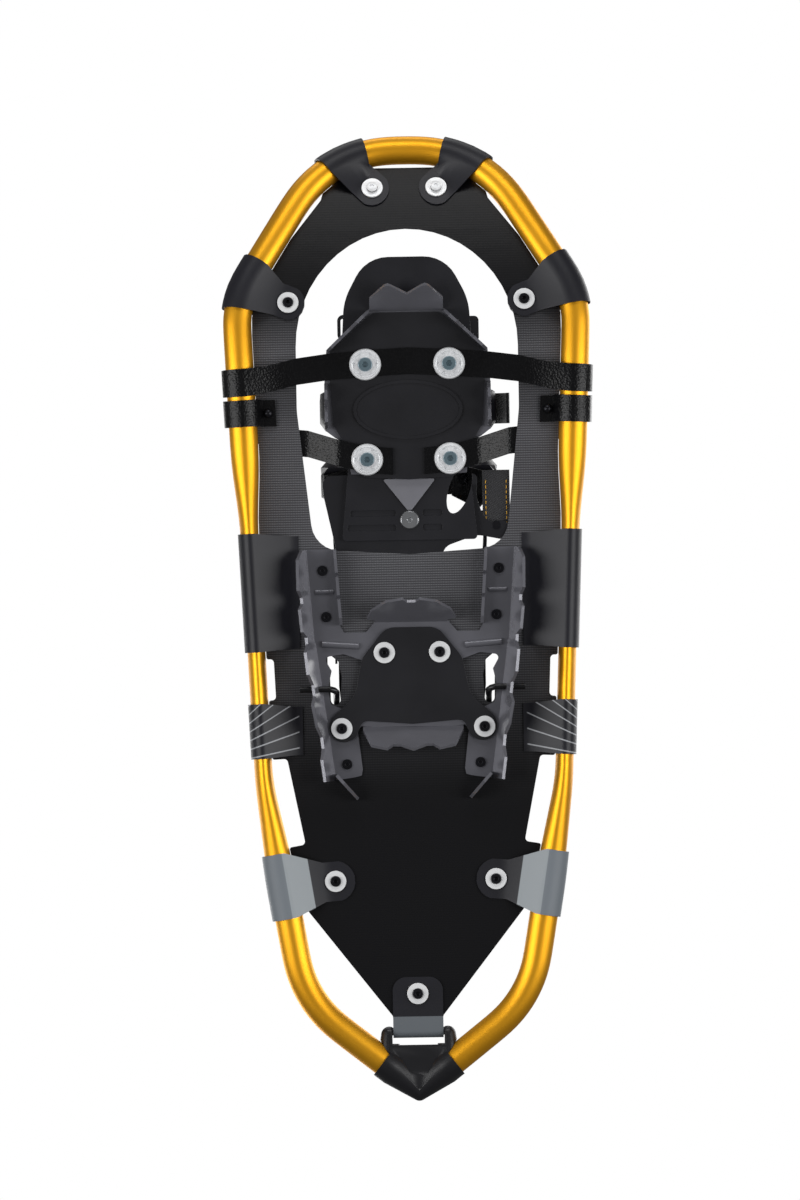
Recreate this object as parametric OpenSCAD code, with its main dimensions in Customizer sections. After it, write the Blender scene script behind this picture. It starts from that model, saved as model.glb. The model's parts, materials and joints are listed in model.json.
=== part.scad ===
/* [Frame] */
// Overall length, nose tube to tail tip
shoe_length = 635; // [560:5:765]
// Width across the frame tubes at the shoulders
frame_width = 240; // [232:2:290]
// Diameter of the round frame tube
tube_d = 19; // [16:0.2:23]
// Wall of the frame tube
tube_wall = 1.2; // [1:0.1:2]
// Width of the tube where it is squeezed oval along the waist
waist_tube_w = 12; // [10:0.2:15]
// How far the nose rises above the flat of the frame
nose_rise = 50; // [30:1:62]
// How far the tail rises
tail_rise = 8; // [0:1:16]

/* [Deck and wraps] */
// Thickness of the coated deck sheet
deck_t = 1.2; // [0.8:0.1:2]
// Thickness of the wraps that tie the deck to the frame
wrap_t = 1.2; // [0.8:0.1:2]
// Diameter of the washers on the wraps and on the heel plate
washer_d = 14; // [11:0.5:17]
// Diameter of the rivets in the wraps and in the heel plate
rivet_d = 5; // [4:0.2:6]

/* [Binding] */
// Width of the binding's footbed
footbed_w = 88; // [80:1:100]
// Width of the suspension straps
strap_w = 17.5; // [14:0.5:21]
// Thickness of the suspension straps
strap_t = 2.2; // [1.6:0.1:2.8]
// Diameter of the bolts that clamp the binding together
bolt_d = 6; // [5:0.2:7]
// Diameter of the big flanged washers under the binding
flange_d = 21; // [18:0.5:24]
// Width of the webbing over the boot
webbing_w = 20; // [16:1:25]

/* [Traction] */
// Length of the steel teeth below their plates
tooth_len = 20; // [17:0.5:24]
// Thickness of the pressed steel plates
steel_t = 2; // [1.5:0.1:2.5]
// Diameter of the heel lift wire
wire_d = 4; // [3:0.2:5]
// Height of the heel lift above its pivot
lift_len = 62; // [50:1:68]

/* [Hidden] */
$fn = 48;

// ---- heights ----
tube_r = tube_d / 2;
touch = 0.05;                 // gap between pieces that lie against each other
gap = 0.45;                   // gap round a wrapped tube
tooth_tip_z = 0;
toe_plate_z = tooth_tip_z + tooth_len;                // underside of the toe crampon's plate
deck_low = 3;                 // the deck's underside above the tube's centreline
tube_z = toe_plate_z + steel_t;                       // centreline of the flat part of the frame
deck_z = tube_z + deck_low;                           // underside of the deck
deck_top = deck_z + deck_t;
heel_plate_z = deck_z - touch - steel_t;              // underside of the heel plate's sheet
heel_tooth_len = heel_plate_z - tooth_tip_z;

// ---- plan of the frame, from the nose to the tail, right half ----
half_w = (frame_width - tube_d) / 2;
nose_y = (shoe_length - tube_d) / 2;
tail_tip_y = -shoe_length / 2;
brow_half = 50;               // half of the nose's flat, before its corner is rounded
brow_r = 76;
nose_len = 98;                // nose to shoulder corner
shoulder_r = 60;
shoulder_out = 1.5;
tail_len = 66.5;              // hip corner to tail tip
hip_y = tail_tip_y + tail_len;
hip_r = 75;
hip_in = 36;                // how much narrower the hip is than the shoulder
waist_y = hip_y + 143;
waist_in = 12;
waist_r = 200;
tube_end = [18, tail_tip_y + 22];
axis_back = 141;              // nose to binding pivot
axis_y = nose_y - axis_back;
heel_back = 121;              // binding pivot to the front of the heel plate
heel_y = axis_y - heel_back;
nose_start = axis_y - 17;     // where the nose starts to rise
tail_start = waist_y - 40;

function unit(v) = v / norm(v);
function flip(p) = [-p.x, p.y];
function corner(a, b, c, r, n) =
    let (u = unit(a - b), v = unit(c - b), half = acos(u * v) / 2,
         m = b + unit(u + v) * r / sin(half),
         p = b + u * r / tan(half) - m, q = b + v * r / tan(half) - m,
         a0 = atan2(p.y, p.x), turn = (atan2(q.y, q.x) - a0 + 540) % 360 - 180)
    [for (i = [0:n]) m + r * [cos(a0 + turn * i / n), sin(a0 + turn * i / n)]];
// A polyline whose corners [x, y, radius] are rounded
function rounded(v, n) =
    [for (i = [0:len(v) - 1])
        each (i == 0 || i == len(v) - 1 || v[i][2] == 0)
            ? [[v[i].x, v[i].y]]
            : corner([v[i - 1].x, v[i - 1].y], [v[i].x, v[i].y], [v[i + 1].x, v[i + 1].y], v[i][2], n)];
function dense(p, step) =
    [for (i = [0:len(p) - 2])
        let (n = max(1, ceil(norm(p[i + 1] - p[i]) / step)))
            for (k = [0:n - 1]) p[i] + (p[i + 1] - p[i]) * k / n,
     p[len(p) - 1]];

half_path = dense(rounded([
    [0, nose_y, 0], [brow_half, nose_y, brow_r],
    [half_w + shoulder_out, nose_y - nose_len, shoulder_r],
    [half_w - waist_in, waist_y, waist_r],
    [half_w - hip_in, hip_y, hip_r],
    [tube_end.x, tube_end.y, 0]], 7), 15);
run = [for (i = 0, s = 0; i < len(half_path);
            s = s + (i < len(half_path) - 1 ? norm(half_path[i + 1] - half_path[i]) : 0), i = i + 1) s];
x_table = [for (i = [0:len(run) - 1]) [run[i], half_path[i].x]];
y_table = [for (i = [0:len(run) - 1]) [run[i], half_path[i].y]];
s_table = [for (i = [2:len(run) - 1]) [-half_path[i].y, run[i]]];
function at(s) = [lookup(s, x_table), lookup(s, y_table)];
function s_at(y) = lookup(-y, s_table);
function along(s) = unit(at(s + 3) - at(s - 3));

// ---- the curved surface that the frame and the deck follow ----
function lift(y) =
    y > nose_start ? nose_rise * pow((y - nose_start) / (nose_y - nose_start), 2)
    : y < tail_start ? tail_rise * pow((tail_start - y) / (tail_start - tail_tip_y), 2) : 0;
function tilt(y) = atan((lift(y + 0.5) - lift(y - 0.5)));
function up(y) = [0, -sin(tilt(y)), cos(tilt(y))];
function surf(p, h) = [p.x, p.y, tube_z + lift(p.y)] + h * up(p.y);

// The tube is round at the nose and tail, and squeezed oval along the waist
oval_front = heel_y + 10;
oval_rear = waist_y + 15;
oval_run = 55;
function ease(t) = let (c = max(0, min(1, t))) c * c * (3 - 2 * c);
function squeeze(y) = min(ease((oval_front + oval_run - y) / oval_run),
    ease((y - oval_rear + 1.6 * oval_run) / (1.6 * oval_run)));
function half_wide(y) = tube_r - (tube_d - waist_tube_w) / 2 * squeeze(y);
function half_tall(y) = tube_r + 0.79 * (tube_r - half_wide(y));

function tangent(p, t) = unit([t.x, t.y, (lift(p.y + t.y) - lift(p.y - t.y)) / 2]);
function inward(p, t) = unit(cross(tangent(p, t), up(p.y)));
function tube_ring(p, t, wide, tall, sides) =
    let (c = surf(p, 0), n = inward(p, t), u = unit(cross(n, tangent(p, t))))
    [for (k = [0:sides - 1]) c + n * wide * cos(360 * k / sides) + u * tall * sin(360 * k / sides)];

// ---- solids from rings and grids ----
// A pipe: outer and inner rings, open at both ends
module pipe(outer, inner) {
    n = len(outer);
    m = len(outer[0]);
    faces = [
        for (i = [0:n - 2], k = [0:m - 1])
            let (a = i * m + k, b = i * m + (k + 1) % m)
                each [[a, b, b + m], [a, b + m, a + m],
                      [n * m + a, n * m + b + m, n * m + b], [n * m + a, n * m + a + m, n * m + b + m]],
        for (k = [0:m - 1])
            let (b = (k + 1) % m, e = (n - 1) * m)
                each [[k, n * m + b, b], [k, n * m + k, n * m + b],
                      [e + k, e + b, n * m + e + b], [e + k, n * m + e + b, n * m + e + k]]];
    polyhedron([for (r = outer) each r, for (r = inner) each r], faces, convexity = 6);
}
// A thick sheet between grid a and grid b, rows by columns
module thick(a, b) {
    n = len(a);
    m = len(a[0]);
    side = cross(a[1][0] - a[0][0], a[0][1] - a[0][0]) * (a[0][0] - b[0][0]) > 0;
    o = n * m;
    function quad(p, q, r, s) = side ? [[p, s, r], [p, r, q]] : [[p, q, r], [p, r, s]];
    faces = [
        for (i = [0:n - 2], j = [0:m - 2])
            let (p = i * m + j)
                each concat(quad(p, p + m, p + m + 1, p + 1),
                    quad(o + p, o + p + 1, o + p + m + 1, o + p + m)),
        for (i = [0:n - 2])
            let (p = i * m, q = i * m + m - 1)
                each concat(quad(p, o + p, o + p + m, p + m), quad(q, q + m, o + q + m, o + q)),
        for (j = [0:m - 2])
            let (p = j, q = (n - 1) * m + j)
                each concat(quad(p, p + 1, o + p + 1, o + p), quad(q, o + q, o + q + 1, q + 1))];
    polyhedron([for (r = a) each r, for (r = b) each r], faces, convexity = 6);
}
module both_sides() {
    children();
    mirror([1, 0, 0]) children();
}

// ---- frame ----
tube_sides = 18;
module frame_tube() {
    n = len(half_path);
    right = [for (i = [0:n - 1]) [half_path[i], i == 0 ? [1,
        0] : i == n - 1 ? unit(half_path[i] - half_path[i - 1])
             : unit(half_path[i + 1] - half_path[i - 1])]];
    left = [for (i = [n - 1:-1:1]) [flip(right[i][0]), [right[i][1].x, -right[i][1].y]]];
    stations = concat(left, right);
    color("goldenrod") pipe(
        [for (s = stations) tube_ring(s[0], s[1], half_wide(s[0].y), half_tall(s[0].y), tube_sides)],
        [for (s = stations) tube_ring(s[0], s[1], half_wide(s[0].y) - tube_wall,
            half_tall(s[0].y) - tube_wall, tube_sides)]);
}

// ---- tail connector: a moulded V that holds both tube ends and a bar for the tail wrap ----
socket_wall = 1.4;
socket_len = 22;
connector_z = tube_z + lift(tube_end.y);
end_dir = unit(tube_end - at(run[len(run) - 1] - 10));
end_turn = atan2(end_dir.y, end_dir.x);
bar_y = tube_end.y + 23.8;
bar_z = tube_z + lift(bar_y) + deck_low + deck_t / 2;
bar_r = 2.6;
tip_r = 5.2;
web_tall = 13;
horn_x = 19.2;
horn_y = tube_end.y + 21.7;
module tail_connector() {
    color("dimgray") difference() {
        union() {
            both_sides() {
                // an arm from the socket's mouth to the tip
                hull() {
                    translate([tube_end.x, tube_end.y, connector_z]) rotate([0, 0, end_turn])
                        translate([-socket_len * 0.3, 0, 0]) rotate([0, 90,
                            0]) cylinder(r = tube_r + socket_wall, h = 8.4);
                    translate([0, tail_tip_y + tip_r, connector_z]) sphere(r = tip_r, $fn = 32);
                }
                hull() {
                    translate([horn_x, horn_y, bar_z - 1]) sphere(d = 11, $fn = 24);
                    translate([tube_end.x + 1, tube_end.y + 7, connector_z]) sphere(r = 8, $fn = 24);
                }
            }
            translate([0, 0, connector_z - web_tall / 2]) linear_extrude(web_tall)
                polygon([[-18, bar_y - 9], [18, bar_y - 9], [22, tube_end.y + 5], [0, tail_tip_y + 8],
                    [-22, tube_end.y + 5]]);
            translate([-horn_x, bar_y, bar_z]) rotate([0, 90, 0]) cylinder(r = bar_r, h = 2 * horn_x);
        }
        // sockets
        both_sides() translate([tube_end.x, tube_end.y, connector_z]) rotate([0, 0, end_turn])
            translate([-60, 0, 0]) rotate([0, 90, 0]) cylinder(r = tube_r + touch + 0.45, h = 61);
        // the way round the bar for the tail wrap
        difference() {
            translate([-tail_wrap_w / 2 - 0.6, bar_y - 8.1, bar_z - 30]) cube([tail_wrap_w + 1.2, 50, 60]);
            translate([-horn_x, bar_y, bar_z]) rotate([0, 90, 0]) cylinder(r = bar_r, h = 2 * horn_x);
        }
    }
}

// ---- deck ----
toe_half = footbed_w / 2 + 29;            // half-width of the toe hole
toe_mid_y = axis_y + 12;                  // widest point of the toe hole
toe_front_len = 77;
toe_rear_y = heel_y - 2;
function hug(y) = half_wide(y) * sqrt(1 - pow(deck_low / half_tall(y), 2)) + 0.45;
function edge(s, inset) = let (t = along(s)) at(s) + inset * [t.y, -t.x];
function hugging(s0, s1) = [for (k = [0:1 / ceil((s1 - s0) / 14):1.001]) let (s = s0 + (s1 - s0) * k)
    edge(s, hug(at(s).y))];
rear_wrap_y = hip_y + 76;
slot_front_y = heel_y - 72;
slot_rear_y = heel_y - 99;
notch_front_y = heel_y - 138;
notch_rear_y = min(heel_y - 186, rear_wrap_y + 24);
deck_tail_half = 16.5;
deck_tail_y = bar_y + 7;
toe_wrap_s = 40;
toe_gap_s = 74;
shoulder_s = s_at(nose_y - 71);
deck_half = concat(
    [[0, nose_y - tube_r - 2], [24, nose_y - tube_r - 2]],
    hugging(36, 66),
    [edge(toe_gap_s - 4, tube_r + 2.2), edge(shoulder_s - 22, hug(0) + 3.2),
        edge(shoulder_s + 10, hug(0) + 3.4)],
    hugging(shoulder_s + 14, s_at(slot_front_y)),
    [edge(s_at(slot_front_y), waist_tube_w / 2 + 5), edge(s_at(slot_rear_y), waist_tube_w / 2 + 5)],
    hugging(s_at(slot_rear_y), s_at(notch_front_y)),
    [edge(s_at(notch_front_y), waist_tube_w / 2 + 10), edge(s_at(notch_rear_y), tube_r + 10)],
    hugging(s_at(notch_rear_y), s_at(rear_wrap_y - 12)),
    [[deck_tail_half, deck_tail_y + 3], [deck_tail_half, deck_tail_y], [0, deck_tail_y]]);
toe_hole_half = concat(
    [for (a = [90:-7.5:0]) [toe_half * cos(a), toe_mid_y + toe_front_len * sin(a)]],
    rounded([[toe_half, toe_mid_y - 8, 0], [toe_half, toe_mid_y - 42, 60],
             [toe_half - 10, toe_rear_y + 2, 19], [0, toe_rear_y - 2, 0]], 6));
module mirrored_outline(half) polygon(concat(half, [for (i = [len(half) - 1:-1:0]) flip(half[i])]));
module banana_slot() {
    spots = [[56.5, heel_y - 71.5, 3.3], [51.5, heel_y - 76, 3.6], [50.3, heel_y - 84, 3.8],
        [50.6, heel_y - 99, 3.2]];
    for (i = [0:len(spots) - 2]) hull() for (k = [i, i + 1])
        translate([spots[k].x, spots[k].y]) circle(r = spots[k][2], $fn = 24);
}
sheet_marks = concat([for (k = [0:14]) nose_start + (nose_y + 8 - nose_start) * k / 14]);
tail_marks = [for (k = [6:-1:0]) tail_start + (tail_tip_y - 8 - tail_start) * k / 6];
module surface_slab(low, high) {
    marks = concat(tail_marks, sheet_marks);
    function edge_line(h) = [for (y = marks) let (p = surf([0, y], h)) [p.y, p.z]];
    lo = edge_line(low);
    hi = edge_line(high);
    rotate([90, 0, 90]) translate([0, 0, -frame_width]) linear_extrude(2 * frame_width)
        polygon(concat(lo, [for (i = [len(hi) - 1:-1:0]) hi[i]]));
}
module surface_hole(p, r) {
    translate(surf(p, -8)) rotate([tilt(p.y), 0, 0]) cylinder(r = r, h = 26);
}
module deck() {
    color("#1c1c20") difference() {
        intersection() {
            surface_slab(deck_low, deck_low + deck_t);
            linear_extrude(200) difference() {
                offset(r = -2.5, $fn = 24) offset(delta = 2.5) offset(r = 1.5,
                    $fn = 24) offset(delta = -1.5)
                    mirrored_outline(deck_half);
                mirrored_outline(toe_hole_half);
                both_sides() banana_slot();
            }
        }
        both_sides() {
            for (p = wrap_rivet_spots) surface_hole(p, rivet_d / 2 + touch);
            for (p = heel_rivet_spots) surface_hole(p, rivet_d / 2 + touch);
            for (p = rail_rivet_spots) surface_hole(p, rail_rivet_r + touch);
            surface_hole(strap_rivet_spot, strap_rivet_r + touch);
            on_surface(front_strap_rivet, 0) cylinder(r = strap_rivet_r + touch, h = 26);
        }
        surface_hole([0, tail_rivet_y], rivet_d / 2 + touch);
    }
}

// ---- wraps round the frame ----
tab_r = 11;
toe_rivet = [21, nose_y - 24];
shoulder_rivet = let (t = along(shoulder_s + 16)) at(shoulder_s + 16) + (tube_r + 20) * [t.y, -t.x];
rear_rivet = let (t = along(s_at(rear_wrap_y))) at(s_at(rear_wrap_y - 3)) + (tube_r + 25) * [t.y, -t.x];
wrap_rivet_spots = [toe_rivet, shoulder_rivet, rear_rivet];
tail_rivet_y = bar_y + 24.7;
tail_wrap_w = 2 * deck_tail_half;
// The rows of a wrap: a loop over the tube whose ends lie on both faces of the deck, about `end`
function wrap_row(s0, w, end, r_end, r_flat, v, off) =
    let (s = s0 + v * w / 2, p = at(s), t = along(s), n = inward(p, t), c = surf(p, 0),
         u = unit(cross(n, tangent(p, t))),
         t0 = along(s0), dir = unit(end - at(s0)), cross_dir = let (q = [-dir.y,
             dir.x]) q * t0 > 0 ? q : -q,
         mid = end + cross_dir * v * r_end, tip = mid + dir * r_end * sqrt(max(0, 1 - pow(0.97 * v, 2))),
         flat = mid - dir * r_flat,
         top = deck_low + deck_t + touch + off, low = deck_low - touch - off,
         a = half_wide(p.y) + gap + off, b = half_tall(p.y) + gap + off,
         ft = surf(flat, top) - c, fb = surf(flat, low) - c,
         qt = [ft * n / a, ft * u / b], qb = [fb * n / a, fb * u / b],
         at_top = atan2(qt.y, qt.x) + acos(1 / max(1.001, norm(qt))),
         at_low = 360 + atan2(qb.y, qb.x) - acos(1 / max(1.001, norm(qb))))
    concat([surf(tip, top), surf(mid, top), surf(flat, top)],
           [for (k = [0:10]) let (f = at_top + (at_low - at_top) * k / 10) c + n * a * cos(f) + u * b
               * sin(f)],
           [surf(flat, low), surf(mid, low), surf(tip, low)]);
wrap_rows = [-1, -0.92, -0.75, -0.5, -0.2, 0.2, 0.5, 0.75, 0.92, 1];
module wrap_loop(s0, w, end, r_end, r_flat) {
    thick([for (v = wrap_rows) wrap_row(s0, w, end, r_end, r_flat, v, wrap_t)],
          [for (v = wrap_rows) wrap_row(s0, w, end, r_end, r_flat, v, 0)]);
}
module riveted_wrap(s0, w, end, r_end) {
    difference() {
        wrap_loop(s0, w, end, r_end, washer_d / 2 + 0.5);
        surface_hole(end, rivet_d / 2 + touch);
    }
}
module toe_wrap() color("#232328") riveted_wrap(toe_wrap_s, 29, toe_rivet, tab_r);
module shoulder_wrap() color("#232328") riveted_wrap(shoulder_s + 20, 34, shoulder_rivet, tab_r);
module rear_wrap() color("slategray") riveted_wrap(s_at(rear_wrap_y), 43, rear_rivet, tab_r + 2);
// The wide wraps run in between the deck and the heel plate's rails
waist_wrap_y = heel_y - 28;
striped_wrap_y = heel_y - 119;
waist_wrap_w = 78;
striped_wrap_w = 36;
wide_end = 6;                 // the flat strip along the inner end of a wide wrap
function wide_row(s0, w, inner_x, v, off) =
    let (s = s0 + v * w / 2, p = at(s), t = along(s), n = inward(p, t), c = surf(p, 0),
         u = unit(cross(n, tangent(p, t))), y_end = at(s0).y - v * (w / 2 - 2),
         tip = [inner_x, y_end], flat = [inner_x + wide_end, y_end],
         top = deck_low + deck_t + touch + off, low = deck_low - touch - off,
         a = half_wide(p.y) + gap + off, b = half_tall(p.y) + gap + off,
         ft = surf(flat, top) - c, fb = surf(flat, low) - c,
         qt = [ft * n / a, ft * u / b], qb = [fb * n / a, fb * u / b],
         at_top = atan2(qt.y, qt.x) + acos(1 / norm(qt)),
             at_low = 360 + atan2(qb.y, qb.x) - acos(1 / norm(qb)))
    concat([surf(tip, top), surf(flat, top)],
           [for (k = [0:10]) let (f = at_top + (at_low - at_top) * k / 10) c + n * a * cos(f) + u * b
               * sin(f)],
           [surf(flat, low), surf(tip, low)]);
wide_rows = [for (k = [-4:4]) k / 4];
module wide_wrap(y, w, inner_x) {
    thick([for (v = wide_rows) wide_row(s_at(y), w, inner_x, v, wrap_t)],
          [for (v = wide_rows) wide_row(s_at(y), w, inner_x, v, 0)]);
}
rail_clear = 4;
module waist_wrap() color("#2b2b31") wide_wrap(waist_wrap_y, waist_wrap_w, rail_front.x + rail_clear);
module striped_wrap() color("#2b2b31") wide_wrap(striped_wrap_y, striped_wrap_w,
    rail_front.x + rail_clear - 1);
// The tail wrap loops the connector's bar
module tail_wrap() {
    far = tail_rivet_y + tab_r;
    function loop(off) =
        [for (y = [far, tail_rivet_y, tail_rivet_y - 9]) let (q = surf([0, y],
            deck_low + deck_t + touch + off)) [q.y, q.z],
         for (f = [90:18:270]) [bar_y + (bar_r + gap + off) * cos(f), bar_z + (bar_r + gap + off) * sin(f)],
         for (y = [tail_rivet_y - 9, tail_rivet_y, far]) let (q = surf([0, y],
             deck_low - touch - off)) [q.y, q.z]];
    outer = loop(wrap_t);
    inner = loop(0);
    color("#2b2b31") difference() {
        intersection() {
            rotate([90, 0, 90]) translate([0, 0, -tail_wrap_w / 2]) linear_extrude(tail_wrap_w)
                polygon(concat(outer, [for (i = [len(inner) - 1:-1:0]) inner[i]]));
            linear_extrude(200) translate([0, far - 60]) offset(r = 9) offset(delta = -9)
                translate([-tail_wrap_w / 2, 0]) square([tail_wrap_w, 60]);
        }
        surface_hole([0, tail_rivet_y], rivet_d / 2 + touch);
    }
}
washer_t = 1.2;
head_t = 1.4;
module on_surface(p, h) translate(surf(p, h)) rotate([tilt(p.y), 0, 0]) children();
under_wrap = deck_low - 2 * touch - wrap_t;
over_wrap = deck_low + deck_t + 2 * touch + wrap_t;
module ring(r_out, r_in, h) difference() {
    cylinder(r = r_out, h = h);
    translate([0, 0, -1]) cylinder(r = r_in, h = h + 2);
}
module wrap_washers() {
    color("gainsboro") {
        both_sides() for (p = wrap_rivet_spots)
            on_surface(p, under_wrap - washer_t) ring(washer_d / 2, rivet_d / 2 + touch, washer_t);
        on_surface([0, tail_rivet_y], under_wrap - washer_t) ring(washer_d / 2, rivet_d / 2 + touch,
            washer_t);
    }
}
module tubular_rivet(low, high, r_head) {
    difference() {
        union() {
            translate([0, 0, low - touch - head_t]) cylinder(r1 = r_head - 0.5, r2 = r_head, h = head_t);
            translate([0, 0, low - touch - 0.01]) cylinder(r = rivet_d / 2,
                h = high - low + 2 * touch + 0.02);
            translate([0, 0, high + touch]) cylinder(r1 = r_head + 1, r2 = r_head, h = head_t);
        }
        translate([0, 0, low - touch - head_t - 1]) cylinder(r = rivet_d / 2 - 1.1, h = 3.4);
    }
}
module wrap_rivets() {
    color("#3a3a40") {
        both_sides() for (p = wrap_rivet_spots)
            on_surface(p, 0) tubular_rivet(under_wrap - washer_t, over_wrap, rivet_d / 2 + 1.2);
        on_surface([0, tail_rivet_y], 0) tubular_rivet(under_wrap - washer_t, over_wrap, rivet_d / 2 + 1.2);
    }
}

// ---- heel traction plate: one pressing with two rails and two middle blades ----
rail_front = [69.5, heel_y];
rail_bend = [65, heel_y - 62];
rail_rear = [52.5, heel_y - 152];
heel_rivet_spots = [[18.2, heel_y - 68.5], [47, heel_y - 118]];
rail_rivet_spots = [[58, heel_y - 14], [56, heel_y - 44.5], [43.8, heel_y - 141.5]];
rail_rivet_r = 2;
plate_half = [
    [0, heel_y - 46], [24, heel_y - 48], [30, heel_y - 55], [44.5, heel_y - 55], [47, heel_y - 50],
        [49, heel_y],
    rail_front, rail_bend, rail_rear, [38, heel_y - 150], [34.4, heel_y - 149], [33.6, heel_y - 145],
    [36.6, heel_y - 119], [34, heel_y - 116.6], [0, heel_y - 119]];
window_half = [[45, heel_y - 69], [31, heel_y - 74], [35, heel_y - 92], [44, heel_y - 106],
    [54, heel_y - 102],
               [55.5, heel_y - 91], [53, heel_y - 80], [58, heel_y - 71]];
// A toothed blade along a fold from p to q, leaning `lean` degrees to the left of that line
module blade(p, q, low_z, depth, teeth, lean, t) {
    l = norm(q - p);
    translate([p.x, p.y, low_z]) rotate([0, 0, atan2(q.y - p.y, q.x - p.x)])
        translate([0, t * (0.1 - cos(lean)), t * (0.9 - sin(lean))])
            rotate([-90 + lean, 0, 0]) linear_extrude(t)
                polygon(concat([[0, 0], [l, 0]], [for (k = [len(teeth) - 1:-1:0]) [teeth[k].x * l,
                    t + teeth[k].y * depth]]));
}
rail_teeth = [[0, 0.35], [0.1, 0.8], [0.42, 0.98], [0.5, 0.72], [0.56, 0.72], [0.62, 1], [0.86, 0.94],
    [0.92, 0.6], [1, 0.6]];
rear_teeth = [[0, 0.6], [0.06, 0.95], [0.22, 1], [0.3, 0.7], [0.38, 0.7], [0.44, 1], [0.6, 0.9],
    [0.68, 0.6],
              [0.76, 0.62], [0.84, 0.9], [1, 0.9]];
claw_teeth = [[0, 0.9], [0.35, 0.98], [0.8, 0.6], [1, 0.3]];
stub_teeth = [[0, 0.2], [0.12, 0.42], [0.3, 0.42], [0.33, 0.3], [0.36, 0.42], [0.6, 0.42], [0.63, 0.3],
              [0.66, 0.42], [0.9, 0.42], [1, 0.25]];
front_teeth = [[-0.01, 0.03], [-0.13, 0.12], [-0.06, 0.5], [0.14, 0.88], [0.38, 1], [0.44, 0.88],
    [0.56, 0.88], [0.62, 1],
               [0.86, 0.88], [1.06, 0.5], [1.13, 0.12], [1.01, 0.03]];
back_teeth = [[0, 0.1], [0.08, 0.8], [0.24, 0.96], [0.3, 0.78], [0.37, 0.78], [0.5, 1], [0.63, 0.78],
    [0.7, 0.78],
              [0.76, 0.96], [0.92, 0.8], [1, 0.1]];
rail_lean = 17;
middle_lean = 33;
bail_axis_y = heel_y - 92;
bail_axis_z = heel_plate_z - 7;
module heel_traction_plate() {
    middle = heel_tooth_len / cos(middle_lean) - 2;
    side = heel_tooth_len / cos(rail_lean) - 0.2;
    color("gray") difference() {
        union() {
            translate([0, 0, heel_plate_z]) linear_extrude(steel_t) difference() {
                mirrored_outline(plate_half);
                both_sides() offset(r = 2.5) offset(delta = -2.5) polygon(window_half);
            }
            both_sides() {
                blade(rail_front - [0, 0.3], rail_bend - [0, 0.5], heel_plate_z, side, rail_teeth,
                    rail_lean, steel_t);
                blade(rail_bend + [-0.5, 0.7], rail_rear, heel_plate_z, side, rear_teeth, rail_lean,
                    steel_t);
                blade(rail_rear + [-1, 3], [37.5, heel_y - 165], heel_plate_z, heel_tooth_len - 3,
                    claw_teeth, 0, steel_t);
                mirror([1, 0, 0]) blade([-49, heel_y - 0.5], [-45.5, heel_y - 50], heel_plate_z,
                    heel_tooth_len, stub_teeth, 0, steel_t);
                // pressed ribs that stiffen the arms
                translate([35, heel_y - 64, heel_plate_z - 0.35]) rotate([0, 90, 4]) cylinder(r = 2.2,
                    h = 24);
                translate([51, heel_y - 28, heel_plate_z + 0.3]) rotate([0, 90, 0]) cylinder(r = 1.6,
                    h = 12);
            }
            blade([-23.2, heel_y - 47.6], [23.2, heel_y - 47.6], heel_plate_z, middle, front_teeth,
                middle_lean, steel_t);
            blade([33, heel_y - 118.2], [-33, heel_y - 118.2], heel_plate_z, middle, back_teeth,
                middle_lean, steel_t);
        }
        both_sides() {
            for (p = heel_rivet_spots) surface_hole(p, rivet_d / 2 + touch);
            for (p = rail_rivet_spots) surface_hole(p, rail_rivet_r + touch);
            translate([45, bail_axis_y, bail_axis_z]) rotate([0, 90, 0]) cylinder(r = wire_d / 2 + 0.08,
                h = 40);
        }
    }
}
ice_t = 2;
ice_half = rounded([[0, heel_y - 52, 0], [17, heel_y - 52, 12], [33, heel_y - 72, 14],
    [38, heel_y - 97, 18],
                    [57, heel_y - 114, 9.5], [50, heel_y - 131, 9], [38, heel_y - 124, 7],
                        [33, heel_y - 113, 5], [0, heel_y - 115.6, 0]], 6);
module heel_ice_plate() {
    color("#202024") difference() {
        translate([0, 0, heel_plate_z - touch - ice_t]) linear_extrude(ice_t) mirrored_outline(ice_half);
        both_sides() {
            for (p = heel_rivet_spots) surface_hole(p, rivet_d / 2 + touch);
            // relief for the pressed rib
            translate([30, heel_y - 64.4, heel_plate_z - 0.35]) rotate([0, 90, 4]) cylinder(r = 2.4,
                h = 30);
        }
    }
}
ice_z = heel_plate_z - 2 * touch - ice_t;
module heel_washers() {
    color("gainsboro") both_sides() for (p = heel_rivet_spots)
        translate([p.x, p.y, ice_z - washer_t]) ring(washer_d / 2, rivet_d / 2 + touch, washer_t);
}
module heel_rivets() {
    color("#3a3a40") both_sides() for (p = heel_rivet_spots)
        translate([p.x, p.y, 0]) tubular_rivet(ice_z - washer_t, deck_top + touch, rivet_d / 2 + 1.2);
}
module rail_rivets() {
    color("#2a2a2e") both_sides() for (p = rail_rivet_spots) translate([p.x, p.y, 0]) difference() {
        union() {
            translate([0, 0, heel_plate_z - touch - 1.2]) cylinder(r = 3.4, h = 1.2);
            translate([0, 0, heel_plate_z - touch - 0.01]) cylinder(r = rail_rivet_r,
                h = deck_top - heel_plate_z + 2 * touch + 0.02);
            translate([0, 0, deck_top + touch]) cylinder(r1 = 3.8, r2 = 3.2, h = 1.1);
        }
        translate([0, 0, heel_plate_z - 2.5]) cylinder(r = 1.3, h = 2.2);
    }
}
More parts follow.
